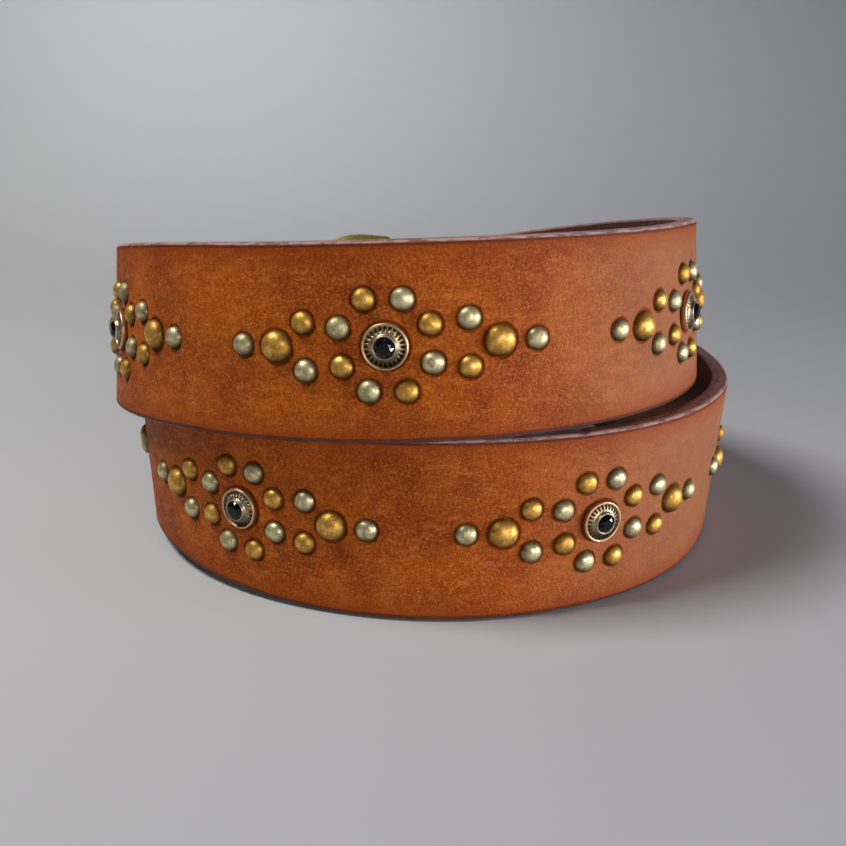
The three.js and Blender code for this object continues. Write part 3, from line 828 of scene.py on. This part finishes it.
@dataclass
class Strap:
    """The leather strap, pressed in round its studs, holed in its tail and folded round the bar."""

    route: Route
    pattern: Pattern
    finish: bpy.types.Material
    tip_length: float = 0.030
    tip_blunt: float = 0.005
    outer_corner: float = 0.0007
    inner_corner: float = 0.0005
    edge_bulge: float = 0.00012
    fine_step: float = 0.00077
    coarse_step: float = 0.0032
    bar_radius: float = 0.0023
    bar_clearance: float = 0.0004
    fold_closing: float = 0.010
    fold_gap: float = 0.00086
    press_depth: float = 0.00026
    press_reach: float = 0.00055
    lip_height: float = 0.00007
    hole_radius: float = 0.00225
    hole_pitch: float = 0.020
    first_hole: float = 0.055
    hole_count: int = 5
    slot_length: float = 0.020
    slot_width: float = 0.0052
    no_stud_gap: float = 0.01
    nick_turn: float = 26.5
    nick_depth: float = 0.00030
    nick_reach: float = 0.0006
    tip_steps: int = 26
    bar_steps: int = 16
    fold_step: float = 0.0010
    fine_margin: float = 0.0012
    lip_middle: float = 0.0014
    lip_reach: float = 0.0006
    roll_height: float = 0.00005
    ripple_height: float = 0.00002
    ragged_height: float = 0.00007
    far_from_studs: float = 0.02
    stud_search: float = 0.012

    @property
    def wrap_radius(self) -> float:
        """From the bar's middle to the leather's outer face where it goes round the bar."""
        return self.route.thickness + self.bar_radius + self.bar_clearance

    def stations(self) -> tuple[Frames, np.ndarray, np.ndarray]:
        """Every section of the strap from tip to folded end.

        Returns:
            The sections' frames, their half-widths, and their lengths along the leather.
        """
        full = self.route.width / 2
        tip = self.tip_length * (np.arange(self.tip_steps) / self.tip_steps) ** 2
        reach = SMALL_ROWS[0].u * self.pattern.pitch + self.pattern.small_radius + self.fine_margin
        ends = [self.tip_length]
        runs = []
        for middle in self.pattern.middles():
            runs.append((ends[-1], middle - reach, self.coarse_step))
            runs.append((middle - reach, middle + reach, self.fine_step))
            ends.append(middle + reach)
        runs.append((ends[-1], self.route.length, self.coarse_step))
        body = [np.linspace(a, b, max(int(round((b - a) / step)), 1), endpoint=False) for a, b, step in runs]
        lengths = np.concatenate([tip, *body, [self.route.length]])
        share = 1.0 - np.minimum(lengths / self.tip_length, 1.0)
        half = self.tip_blunt / 2 + (full - self.tip_blunt / 2) * np.sqrt(1.0 - share**2)
        on_route = self.route.frames(lengths)
        round_bar, bar_length = self._bar_turn()
        laid, laid_length = self._laid_back()
        parts = [on_route, round_bar, laid]
        keys = ("point", "along", "up", "out")
        frames = Frames(*(np.concatenate([getattr(part, key) for part in parts]) for key in keys))
        half = np.concatenate([half, np.full(len(round_bar.point) + len(laid.point), full)])
        return frames, half, np.concatenate([lengths, bar_length, laid_length])

    def bar_frame(self) -> Frames:
        """The bar's middle, with the strap's own directions at the fold."""
        end = self.route.frames(np.array([self.route.length]))
        return end.moved(np.zeros(1), np.array([-self.wrap_radius]))

    def _bar_turn(self) -> tuple[Frames, np.ndarray]:
        """Half a circle of the outer face round the bar: out turned about up, at the outer radius."""
        bar = self.bar_frame()
        radius = self.wrap_radius
        angle = np.arange(1, self.bar_steps) * np.pi / self.bar_steps
        out = bar.out * np.cos(angle)[:, None] + np.cross(bar.up, bar.out) * np.sin(angle)[:, None]
        up = np.repeat(bar.up, len(angle), axis=0)
        frames = Frames(bar.point + out * radius, np.cross(up, out), up, out)
        return frames, self.route.length + angle * radius

    def _laid_back(self) -> tuple[Frames, np.ndarray]:
        """The end laid back along the inner face, its gap closing smoothly over the closing length."""
        back = np.arange(0.0, self.pattern.fold_length + 1e-6, self.fold_step)
        frames = self.route.frames(self.route.length - back)
        wide = 2 * (self.bar_radius + self.bar_clearance)
        gap = self.fold_gap + (wide - self.fold_gap) * (1 - smooth_step(back, 0.0, self.fold_closing))
        moved = frames.moved(np.zeros(len(back)), -2 * self.route.thickness - gap)
        flipped = Frames(moved.point, -moved.along, moved.up, -moved.out)
        return flipped, self.route.length + math.pi * self.wrap_radius + back

    def section(self) -> tuple[np.ndarray, np.ndarray, np.ndarray, np.ndarray]:
        """The strap's section as a closed loop, from the inner upper corner over the outer face.

        Corners are quarter circles, the cut edges bulge by a half sine, and the outer face has close
        points where the studs are and near its rims.

        Returns:
            For each point, its share of the half-width, what is added to that, how far out it lies, and
            which side of the leather it is on.
        """
        t, outer, inner = self.route.thickness, self.outer_corner, self.inner_corner
        quarter = np.linspace(0.0, np.pi / 2, 4)
        inner_inset, inner_out = inner * (1 - np.sin(quarter)), -t + inner * (1 - np.cos(quarter))
        outer_inset, outer_out = outer * (1 - np.cos(quarter)), -outer * (1 - np.sin(quarter))
        face = np.linspace(0.0, 1.0, 6)[1:-1]
        wall_out = (-t + inner) + face * (t - inner - outer)
        wall_inset = np.zeros(len(face))
        inset = np.concatenate([inner_inset, wall_inset, outer_inset])
        out = np.concatenate([inner_out, wall_out, outer_out])
        inset = inset + self.edge_bulge * (1 - np.sin(np.pi * np.clip(-out / t, 0, 1)))
        middle = np.arange(-20, 21) * 0.00065
        near_rim = np.array([0.0138, 0.0149, 0.0160, 0.0170, 0.0178, 0.0184, 0.0188, 0.0191])
        flat = np.concatenate([near_rim[::-1], middle[::-1], -near_rim])
        full = self.route.width / 2
        share = flat / full
        back = np.linspace(-0.8, 0.8, 5)
        lead = np.concatenate([np.ones(len(inset)), share, -np.ones(len(inset)), back])
        add = np.concatenate([-inset, np.zeros(len(share)), inset[::-1], np.zeros(len(back))])
        lift = np.concatenate([out, np.zeros(len(share)), out[::-1], np.full(len(back), -t)])
        edge = np.full(len(inset), Side.EDGE.value)
        edge[-1] = Side.GRAIN.value
        edge[0] = Side.FLESH.value
        grain, flesh = np.full(len(share), Side.GRAIN.value), np.full(len(back), Side.FLESH.value)
        side = np.concatenate([edge, grain, edge[::-1], flesh])
        return lead, add, lift, side

    def shape(self) -> Shape:
        """The whole skin.

        A point is the section's frame moved by across up the width and by lift outwards. Across is lead
        times the half-width plus add. Lift on the grain side sinks by press_depth exp(-(d / reach)^2) at a
        distance d outside a stud's rim, rises in a low lip beyond it, and rolls gently with a few waves.

        Returns:
            The closed skin with its rim, stud_gap, side, run, depth and across values.
        """
        frames, half, length = self.stations()
        lead, add, lift, side = self.section()
        across = lead[None, :] * half[:, None] + add[None, :]
        run = np.broadcast_to(length[:, None], across.shape)
        grain = side[None, :] == Side.GRAIN.value
        gap = self._stud_gap(run, across)
        outside = np.maximum(gap, 0.0)
        press = self.press_depth * np.exp(-((outside / self.press_reach) ** 2))
        lip = self.lip_height * np.exp(-(((outside - self.lip_middle) / self.lip_reach) ** 2))
        roll = self.roll_height * waves(run, across, 0.022, 3)
        roll = roll + self.ripple_height * waves(run, across, 0.007, 5)
        out = lift[None, :] + np.where(grain, lip - press + roll, 0.0)
        edges = np.abs(lead)[None, :] == 1.0
        ragged = self.ragged_height * waves(run, out * 6.0, 0.006, 11) * edges
        from_nick = (run - self.route.length_at(self.nick_turn)) / self.nick_reach
        nick = self.nick_depth * np.exp(-(from_nick**2))
        across = across - np.sign(across) * (np.abs(ragged) + nick * (edges & (lead > 0)[None, :]))
        position = (
            frames.point[:, None, :]
            + frames.up[:, None, :] * across[:, :, None]
            + frames.out[:, None, :] * out[:, :, None]
        )
        count, around = across.shape
        i, j = np.meshgrid(np.arange(count - 1), np.arange(around), indexing="ij")
        here, beside = i * around + j, i * around + (j + 1) % around
        quads = np.stack([here, beside, beside + around, here + around], axis=-1).reshape(-1, 4)
        caps = [list(range(around))[::-1], [(count - 1) * around + n for n in range(around)]]
        values = {
            "rim": half[:, None] - np.abs(across) - self.outer_corner,
            "stud_gap": np.where(grain, gap, self.no_stud_gap),
            "side": np.broadcast_to(side[None, :], across.shape),
            "run": run,
            "depth": out,
            "across": across,
        }
        flat = {name: data.reshape(-1) for name, data in values.items()}
        return Shape(position.reshape(-1, 3), quads.tolist() + caps, flat)

    def _stud_gap(self, run: np.ndarray, across: np.ndarray) -> np.ndarray:
        """Distance to the nearest stud's rim, flat on the strap: |point - middle| - radius."""
        nearest = np.full(run.shape, self.far_from_studs)
        for length, v, radius in self.pattern.pressed():
            rows = np.abs(run[:, 0] - length) < self.stud_search
            away = np.hypot(run[rows] - length, across[rows] - v) - radius
            nearest[rows] = np.minimum(nearest[rows], away)
        return nearest

    def cutters(self) -> Shape:
        """Round punches for the tail's holes and a long one for the prong's slot."""
        reach = 2.5 * self.route.thickness
        at = self.first_hole + self.hole_pitch * np.arange(self.hole_count)
        radius = np.array([0.0, self.hole_radius, self.hole_radius, 0.0])
        height = np.array([-reach, -reach, reach, reach])
        holes = repeated(lathe(radius, height, 32), self.route.frames(at))
        angle = np.arange(32) * 2 * np.pi / 32
        end = self.slot_length / 2 - self.slot_width / 2
        bar = self.bar_frame()
        outline = np.stack([np.cos(angle), np.sin(angle)], axis=-1) * self.slot_width / 2
        outline[:, 0] += np.sign(np.cos(angle + 1e-6)) * end
        deep = np.concatenate([np.column_stack([outline, np.full(32, z)]) for z in (-reach, reach)])
        n = np.arange(32)
        ahead = (n + 1) % 32
        walls = np.stack([n, ahead, ahead + 32, n + 32], axis=-1).tolist()
        caps = [n[::-1].tolist(), (n + 32).tolist()]
        return joined([holes, repeated(Shape(deep, walls + caps), bar)])

    def build(self) -> None:
        """Make the strap, punch it, and keep the result as one plain mesh."""
        piece = make_object("strap_leather", self.shape(), self.finish)
        punch = make_object("punch", self.cutters(), self.finish)
        cut = piece.modifiers.new("holes", "BOOLEAN")
        cut.operation = "DIFFERENCE"
        cut.solver = "EXACT"
        cut.object = punch
        bpy.context.view_layer.update()
        graph = bpy.context.evaluated_depsgraph_get()
        cut_piece = piece.evaluated_get(graph)
        punched = bpy.data.meshes.new_from_object(cut_piece, preserve_all_data_layers=True, depsgraph=graph)
        piece.modifiers.clear()
        piece.data = punched
        bpy.data.objects.remove(punch)
        settle(piece, ["strap"])


@dataclass
class Studs:
    """Domed studs of one size and metal."""

    name: str
    pattern: Pattern
    places: np.ndarray
    radius: float
    height: float
    sides: int
    slot: str
    nodes: list[str]
    finish: bpy.types.Material
    sunk: float = 0.00032
    seed: int = 1

    def dome(self) -> Shape:
        """One dome.

        The profile is radius cos(a)^0.9 and height sin(a) for a from -8 to 90 degrees, on a flat back.
        The foot value is 1 at the back and falls to 0 near the top, and the under value, which
        carries painted shade, rises from 0 at the middle to 1 at the lower side.

        Returns:
            The closed dome.
        """
        a = np.radians(np.array([-8.0, 6.0, 20.0, 36.0, 54.0, 72.0]))
        radius = np.concatenate([[0.0], self.radius * np.maximum(np.cos(a), 0) ** 0.9, [0.0]])
        rise = (self.height + self.sunk) * np.sin(a)
        height = np.concatenate([[rise[0]], rise, [self.height + self.sunk]]) - self.sunk
        shape = lathe(radius, height, self.sides)
        shape.values["foot"] = 1.0 - smooth_step(shape.vertices[:, 2], self.height * 0.1, self.height * 0.8)
        # under carries painted shade on the dome's lower side
        shape.values["under"] = smooth_step(-shape.vertices[:, 1], self.radius * 0.1, self.radius)
        return shape

    def build(self) -> None:
        """All the domes as one piece, each tipped a little differently."""
        random = np.random.default_rng(self.seed)
        frames = self.pattern.frames(self.places)
        tip = random.normal(0.0, 0.035, (2, len(self.places), 1))
        out = unit(frames.out + frames.along * tip[0] + frames.up * tip[1])
        along = unit(frames.along - out * np.sum(frames.along * out, axis=1, keepdims=True))
        tipped = Frames(frames.point, along, np.cross(out, along), out)
        piece = make_object(self.name, repeated(self.dome(), tipped), self.finish)
        settle(piece, self.nodes)


@dataclass
class Rosettes:
    """Round settings with a smooth rim, a fluted cup and a bezel, and the black stones in them."""

    pattern: Pattern
    metal: bpy.types.Material
    glass: bpy.types.Material
    radius: float = 0.00465
    rim_width: float = 0.00062
    rim_height: float = 0.0011
    cup_low: float = 0.00055
    cup_high: float = 0.00135
    bezel_outer: float = 0.00238
    bezel_inner: float = 0.00208
    bezel_height: float = 0.0021
    seat: float = 0.0009
    flutes: int = 24
    flute_depth: float = 0.00042
    stone_radius: float = 0.00202
    stone_crown: float = 0.00074

    def cup(self) -> Shape:
        """One setting.

        A lathe profile from the back over the rim, the cup and the bezel to the seat. In the cup the
        height drops by flute_depth max(0, cos(flutes a))^1.2 w, where w rises from 0 at the bezel to 1
        close to the rim.

        Returns:
            The closed setting, with its zone and foot values.
        """
        r, w = self.radius, self.rim_width
        arc = np.linspace(0.0, np.pi, 7)
        rim_r = r - w / 2 + np.cos(arc) * w / 2
        rim_z = self.rim_height - w / 2 + np.sin(arc) * w / 2
        cup_r = np.linspace(r - w - 0.00004, self.bezel_outer + 0.0001, 10)
        share = (cup_r[0] - cup_r) / (cup_r[0] - cup_r[-1])
        cup_z = self.cup_low + (self.cup_high - self.cup_low) * share**0.8
        wall = self.bezel_outer - self.bezel_inner
        bezel_r = (self.bezel_outer + self.bezel_inner) / 2 + np.cos(arc) * wall / 2
        bezel_z = self.bezel_height - wall / 2 + np.sin(arc) * wall / 2
        radius = np.concatenate([[0.0], [r], rim_r, cup_r, bezel_r, [self.bezel_inner], [0.0]])
        height = np.concatenate([[-0.0003], [-0.0003], rim_z, cup_z, bezel_z, [self.seat], [self.seat]])
        zone = np.concatenate([[0, 0], np.zeros(7), np.ones(10), np.full(7, 2.0), [2, 2]])
        window = np.concatenate([np.zeros(9), 1.0 - smooth_step(share, 0.38, 0.78), np.zeros(9)])
        sides = self.flutes * 6
        angle = np.arange(sides) * 2 * np.pi / sides
        flute = np.maximum(np.cos(self.flutes * angle), 0.0) ** 1.2
        shape = lathe(radius, height[None, :] - self.flute_depth * flute[:, None] * window[None, :], sides)
        pit = (flute[:, None] * window[None, :])[:, 1:-1].T.reshape(-1)
        inward = np.concatenate([np.zeros(9), share, np.zeros(9)])
        low = np.repeat(np.where(zone == 1.0, 0.35 * (1 - inward), 0.0)[1:-1], sides)
        shape.values["foot"] = np.concatenate([np.clip(pit + low, 0, 1), [0.0, 1.0]])
        shape.values["zone"] = np.concatenate([np.repeat(zone[1:-1], sides), [0.0, 2.0]])
        return shape

    def stone(self) -> Shape:
        """One brilliant-cut stone.

        Rings of points: the table's eight at 0.56 of the radius, eight between them at 0.79, sixteen round
        the girdle twice, and the culet. Star, kite and girdle facets join them above, mains below.

        Returns:
            The closed stone.
        """
        r, top = self.stone_radius, self.bezel_height + self.stone_crown

        def ring(count: int, share: float, z: float, turn: float = 0.0) -> np.ndarray:
            """Points on a circle at one height."""
            a = (np.arange(count) + turn) * 2 * np.pi / count
            return np.column_stack([r * share * np.cos(a), r * share * np.sin(a), np.full(count, z)])

        low = self.bezel_height - 0.00005
        parts = [ring(8, 0.56, top), ring(8, 0.79, top - self.stone_crown * 0.30, 0.5), ring(16, 1.0, low)]
        parts += [ring(16, 1.0, low - 0.0002), np.array([[0.0, 0.0, self.seat + 0.0001]])]
        faces = [list(range(8))]
        for n in range(8):
            here, ahead = n, (n + 1) % 8
            mid, mid_back = 8 + n, 8 + (n - 1) % 8
            girdle = [16 + 2 * n, 16 + 2 * n + 1, 16 + (2 * n + 2) % 16]
            faces += [[here, mid, ahead], [here, mid_back, girdle[0]], [here, girdle[0], mid]]
            faces += [[mid, girdle[0], girdle[1]], [mid, girdle[1], girdle[2]]]
        for n in range(16):
            ahead = (n + 1) % 16
            faces += [[16 + n, 32 + n, 32 + ahead, 16 + ahead], [32 + n, 48, 32 + ahead]]
        return Shape(np.concatenate(parts), faces)

    def build(self) -> None:
        """Make the settings and the stones, every one turned by its own angle.

        The settings' under value, which carries painted shade, rises from 0 at the middle to 1 at the
        lower side of the strap.
        """
        frames = self.pattern.frames(self.pattern.settings())
        random = np.random.default_rng(4)
        turn = random.uniform(0, 2 * np.pi, len(frames.point))[:, None]
        along = frames.along * np.cos(turn) + frames.up * np.sin(turn)
        turned = Frames(frames.point, along, np.cross(frames.out, along), frames.out)
        cup = repeated(self.cup(), turned)
        size = len(cup.vertices) // len(frames.point)
        offset = cup.vertices - np.repeat(frames.point, size, 0)
        below = -np.sum(offset * np.repeat(frames.up, size, 0), axis=1)
        # under carries painted shade on the setting's lower side
        cup.values["under"] = smooth_step(below, -self.radius * 0.2, self.radius * 0.8)
        cups = make_object("settings", cup, self.metal)
        settle(cups, nodes_named("setting_"))
        stones = make_object("stones", repeated(self.stone(), turned), self.glass, smooth=False)
        settle(stones, nodes_named("stone_"))


@dataclass
class Buckle:
    """Round-wired buckle on the fold: frame, bar and prong."""

    bar: Frames
    finish: bpy.types.Material
    length: float = 0.032
    half_height: float = 0.0242
    arch: float = 0.0017
    wire: float = 0.0022
    bar_radius: float = 0.0023
    tilt: float = math.radians(12)
    prong_heel: float = 0.0012
    prong_over: float = 0.0022
    prong_rise: float = 0.0006
    prong_wide: tuple[float, float] = (0.0020, 0.0015)
    prong_tall: tuple[float, float] = (0.0013, 0.0010)

    def place(self, shape: Shape) -> Shape:
        """Turn a shape by the tilt about the bar and set it on the bar's frame."""
        x, y, z = shape.vertices.T
        c, s = math.cos(self.tilt), math.sin(self.tilt)
        turned = np.column_stack([x * c + z * s, y, -x * s + z * c])
        return repeated(Shape(turned, shape.faces), self.bar)

    def loop(self) -> Shape:
        """The bent wire.

        A smooth curve through the bar's top, the arch, the shoulder and the far side, and the same below,
        as a rod whose section is a circle.

        Returns:
            The closed rod.
        """
        h, l = self.half_height, self.length
        upper = [(0.0, h), (0.42 * l, h + self.arch), (0.8 * l, 0.84 * h), (0.97 * l, 0.42 * h)]
        points = np.array(upper + [(l, 0.0)] + [(x, -y) for x, y in upper[::-1]])
        place = np.linspace(0, len(points) - 1, 97)
        flat = np.stack([catmull_rom(points[:, k], place) for k in range(2)], axis=-1)
        path = np.column_stack([flat, np.zeros(len(flat))])
        along = unit(np.gradient(path, axis=0))
        rise = np.tile([0.0, 0.0, 1.0], (len(path), 1))
        thick = np.full(len(path), self.wire)
        return rod(path, np.cross(rise, along), rise, thick, thick, 20)

    def straight(
        self, start: np.ndarray, end: np.ndarray, wide: tuple[float, float], tall: tuple[float, float]
    ) -> Shape:
        """A straight rod that tapers from one size to another, with rounded ends.

        The half-sizes run evenly from the first to the second and are multiplied by sqrt(1 - e^2), where
        e goes from 0 to 1 over one half-height at each end.

        Args:
            start: First end.
            end: Second end.
            wide: Half-width at each end.
            tall: Half-height at each end.

        Returns:
            The closed rod.
        """
        span = float(np.linalg.norm(end - start))
        cap = 1 - np.cos(np.linspace(0, np.pi / 2, 6))
        lead = tall[0] * cap
        body = np.concatenate([lead, [span / 2], span - lead[::-1] * tall[1] / tall[0]])
        share = body / span
        nearest = np.minimum(body / tall[0], (span - body) / tall[1])
        close = np.sqrt(np.clip(1 - (1 - np.minimum(nearest, 1.0)) ** 2, 0.0004, 1.0))
        axis = unit((end - start)[None, :])
        path = start + (end - start) * share[:, None]
        side = unit(np.cross([[0.0, 0.0, 1.0]], axis))
        rise = np.cross(axis, side)
        count = len(body)
        spread = [np.interp(share, [0, 1], pair) * close for pair in (wide, tall)]
        return rod(path, np.repeat(side, count, 0), np.repeat(rise, count, 0), spread[0], spread[1], 20)

    def build(self) -> None:
        """Make the buckle as one piece."""
        reach = self.half_height + self.wire
        even = (self.bar_radius, self.bar_radius)
        bar = self.straight(np.array([0, -reach, 0.0]), np.array([0, reach, 0.0]), even, even)
        heel = np.array([-self.prong_heel, 0, self.wire])
        point = np.array([self.length + self.prong_over, 0, self.wire + self.prong_rise])
        prong = self.straight(heel, point, self.prong_wide, self.prong_tall)
        parts = [self.place(shape) for shape in (self.loop(), bar, prong)]
        piece = make_object("buckle_wire", joined(parts), self.finish)
        settle(piece, ["buckle"])


@dataclass
class Keeper:
    """The leather loop behind the buckle, and the rivets that hold the folded end."""

    route: Route
    leather: bpy.types.Material
    metal: bpy.types.Material
    fold_gap: float = 0.00086
    bow: float = 0.00028
    clearance: float = 0.0004
    wall: float = 0.0016
    width: float = 0.009
    from_fold: float = 0.0155
    rivet_radius: float = 0.004
    rivet_height: float = 0.0016
    rivet_from_keeper: float = 0.010
    rivet_spacing: float = 0.013
    run_step: float = 0.003

    def band(self) -> Shape:
        """The loop.

        A rounded rectangle of path points about the two layers, each carrying a flat oval section:
        point + n outward across the wall + x along the strap, with both taken from a superellipse.

        Returns:
            The closed band, with its rim, stud_gap, side, run, depth and across values.
        """
        thick = 2 * self.route.thickness + self.fold_gap
        half_out = thick / 2 + self.clearance + self.bow + self.wall / 2
        half_up = self.route.width / 2 + self.clearance + self.wall / 2
        corner = self.wall
        quarter = np.linspace(0, np.pi / 2, 7)
        turns = [quarter + k * np.pi / 2 for k in range(4)]
        signs = [(1, 1), (-1, 1), (-1, -1), (1, -1)]
        path, normal = [], []
        for angle, (sy, sz) in zip(turns, signs):
            middle = np.array([sy * (half_up - corner), sz * (half_out - corner)])
            around = np.column_stack([np.cos(angle), np.sin(angle)])
            path.append(middle + corner * around)
            normal.append(around)
        path, normal = np.concatenate(path), np.concatenate(normal)
        a = np.arange(24) * 2 * np.pi / 24
        x, n = (np.sign(w) * np.abs(w) ** 0.45 for w in (np.cos(a), np.sin(a)))
        x, n = x * self.width / 2, n * self.wall / 2
        count, around = len(path), len(a)
        yz = path[:, None, :] + normal[:, None, :] * n[None, :, None]
        vertices = np.concatenate([np.broadcast_to(x, (count, around))[..., None], yz], axis=-1)
        i, j = np.meshgrid(np.arange(count), np.arange(around), indexing="ij")
        here, beside = i * around + j, i * around + (j + 1) % around
        ahead, ahead_beside = (i + 1) % count * around + j, (i + 1) % count * around + (j + 1) % around
        quads = np.stack([here, beside, ahead_beside, ahead], axis=-1).reshape(-1, 4)
        face = np.where(np.sin(a) < -0.2, Side.FLESH.value, Side.GRAIN.value)
        values = {
            "rim": np.tile(self.width / 2 - np.abs(x), count),
            "stud_gap": np.full(count * around, 0.02),
            "side": np.tile(np.where(np.abs(np.cos(a)) > 0.97, Side.EDGE.value, face), count),
            "run": np.repeat(np.arange(count) * self.run_step, around),
            "depth": np.tile(n, count),
            "across": np.tile(x, count),
        }
        return Shape(vertices.reshape(-1, 3), quads.tolist(), values)

    def cap(self) -> Shape:
        """One rivet's head: a low dome on a short straight wall."""
        a = np.radians([0.0, 15.0, 32.0, 50.0, 70.0])
        radius = np.concatenate([[0.0], [self.rivet_radius], self.rivet_radius * np.cos(a) ** 0.7, [0.0]])
        rise = 0.0005 + (self.rivet_height - 0.0005) * np.sin(a)
        shape = lathe(radius, np.concatenate([[-0.0002, -0.0002], rise, [self.rivet_height]]), 40)
        shape.values["foot"] = 1.0 - smooth_step(shape.vertices[:, 2], 0.0, 0.0008)
        # under carries painted shade on the rivet's lower side
        shape.values["under"] = smooth_step(-shape.vertices[:, 1], 0.0, self.rivet_radius)
        return shape

    def build(self) -> None:
        """Make the loop and both rivets."""
        at = self.route.length - self.from_fold
        middle = -(2 * self.route.thickness + self.fold_gap) / 2
        frames = self.route.frames(np.array([at])).moved(np.zeros(1), np.array([middle]))
        loop = make_object("keeper_band", repeated(self.band(), frames), self.leather)
        settle(loop, ["keeper_loop"])
        places = at - self.rivet_from_keeper - self.rivet_spacing * np.arange(2)
        rivets = make_object("rivets", repeated(self.cap(), self.route.frames(places)), self.metal)
        settle(rivets, nodes_named("fold_rivet_"))


@dataclass(frozen=True)
class Lamp:
    """A rectangular lamp: its place and aim, width and height, watts, colour and beam angle in degrees."""

    name: str
    at: tuple[float, float, float]
    aim: tuple[float, float, float]
    size: tuple[float, float]
    power: float
    colour: Colour
    beam: float = 180.0


LAMPS = (
    Lamp("key", (-0.41, -0.13, 0.77), (0.0, 0.0, 0.03), (0.24, 0.24), 5.7, (1.0, 0.985, 0.96)),
    Lamp("window", (0.72, -0.22, 0.06), (0.0, -0.02, 0.05), (0.34, 0.08), 1.05, (0.93, 0.92, 1.0), 90.0),
    Lamp("front", (0.42, -0.78, 0.18), (0.0, 0.0, 0.04), (0.40, 0.22), 2.4, (1.0, 0.98, 0.95)),
    Lamp("backdrop", (-0.35, 0.50, 1.15), (-0.05, 1.20, 0.20), (1.20, 0.40), 3.3, (0.97, 0.98, 1.0), 100.0),
)


@dataclass
class Studio:
    """Paper floor and backdrop, soft lights, and the camera at the photograph's angle."""

    axis: tuple[float, float, float]
    floor: bpy.types.Material
    focal_px: float = 941.556
    camera_back: float = 0.254807
    camera_height: float = 0.097895
    camera_pitch: float = 0.29
    floor_half: float = 1.6
    backdrop_from: float = 0.30
    backdrop_height: float = 1.2
    room_colour: Colour = (0.70, 0.80, 1.0)
    room_strength: float = 0.03

    def build_camera(self) -> None:
        """Stand the camera in front of the coil's axis, pitched down."""
        data = bpy.data.cameras.new("camera")
        data.sensor_fit = "HORIZONTAL"
        data.sensor_width = 36.0
        data.lens = self.focal_px / IMAGE_SIDE * data.sensor_width
        data.clip_start = 0.01
        camera = bpy.data.objects.new("camera", data)
        x, y, z = self.axis
        camera.location = (x, y - self.camera_back, z + self.camera_height)
        camera.rotation_euler = (math.pi / 2 - self.camera_pitch, 0.0, 0.0)
        bpy.context.scene.collection.objects.link(camera)
        bpy.context.scene.camera = camera

    def build_floor(self) -> None:
        """A sheet that lies flat, then rises behind with the cube of the distance, so no bend shows."""
        flat = np.linspace(-self.floor_half, self.backdrop_from, 40)
        behind = np.linspace(0.0, self.floor_half - self.backdrop_from, 61)[1:]
        y = np.concatenate([flat, self.backdrop_from + behind])
        rise = self.backdrop_height * (behind / behind[-1]) ** 3
        z = np.concatenate([np.zeros(len(flat)), rise])
        x = np.linspace(-self.floor_half, self.floor_half, 33)
        size = (len(y), len(x))
        grid = np.stack([np.broadcast_to(part, size) for part in (x, y[:, None], z[:, None])], axis=-1)
        i, j = np.meshgrid(np.arange(len(y) - 1), np.arange(len(x) - 1), indexing="ij")
        here = i * len(x) + j
        quads = np.stack([here, here + 1, here + 1 + len(x), here + len(x)], axis=-1).reshape(-1, 4)
        make_object("paper", Shape(grid.reshape(-1, 3), quads.tolist()), self.floor)

    def add_light(self, lamp: Lamp) -> None:
        """Hang a rectangular lamp that faces its aim."""
        data = bpy.data.lights.new(lamp.name, "AREA")
        data.shape = "RECTANGLE"
        data.size, data.size_y = lamp.size
        data.energy = lamp.power
        data.color = lamp.colour
        data.spread = math.radians(lamp.beam)
        hung = bpy.data.objects.new(lamp.name, data)
        towards = Vector(lamp.aim) - Vector(lamp.at)
        turn = towards.to_track_quat("-Z", "Y").to_matrix().to_4x4()
        hung.matrix_world = Matrix.Translation(lamp.at) @ turn
        bpy.context.scene.collection.objects.link(hung)

    def build_lights(self) -> None:
        """The lamps, and a grey room."""
        for lamp in LAMPS:
            self.add_light(lamp)
        world = bpy.data.worlds.new("room")
        world.use_nodes = True
        room = world.node_tree.nodes["Background"]
        room.inputs["Color"].default_value = (*self.room_colour, 1.0)
        room.inputs["Strength"].default_value = self.room_strength
        bpy.context.scene.world = world
        bpy.context.scene.view_settings.view_transform = "Standard"

    def build(self) -> None:
        """Camera, floor and lights."""
        self.build_camera()
        self.build_floor()
        self.build_lights()


def main() -> None:
    """Build every piece in order."""
    logging.basicConfig(level=logging.INFO, format="%(name)s %(message)s")
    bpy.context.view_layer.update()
    leather = LeatherFinish().material()
    nickel, brass, olive = (finish.material() for finish in (OLD_NICKEL, OLD_BRASS, OLIVE_BRASS))
    route = Route()
    pattern = Pattern(route)
    strap = Strap(route, pattern, leather)
    strap.build()
    small, large = (0.00244, 0.0015, 16), (pattern.large_radius, 0.0021, 24)
    silver, gold = pattern.small(Metal.NICKEL), pattern.small(Metal.BRASS)
    large_nodes = nodes_named("large_stud_")
    Studs("studs_nickel", pattern, silver, *small, "nickel", ["strap"], nickel, seed=1).build()
    Studs("studs_brass", pattern, gold, *small, "brass", ["strap"], brass, seed=2).build()
    Studs("studs_large", pattern, pattern.large(), *large, "brass", large_nodes, brass, seed=3).build()
    Rosettes(pattern, RosetteFinish().material(), GlassFinish().material()).build()
    Buckle(strap.bar_frame(), olive).build()
    Keeper(route, leather, nickel).build()
    Studio(route.axis, FloorFinish().material()).build()


if __name__ == "__main__":
    main()
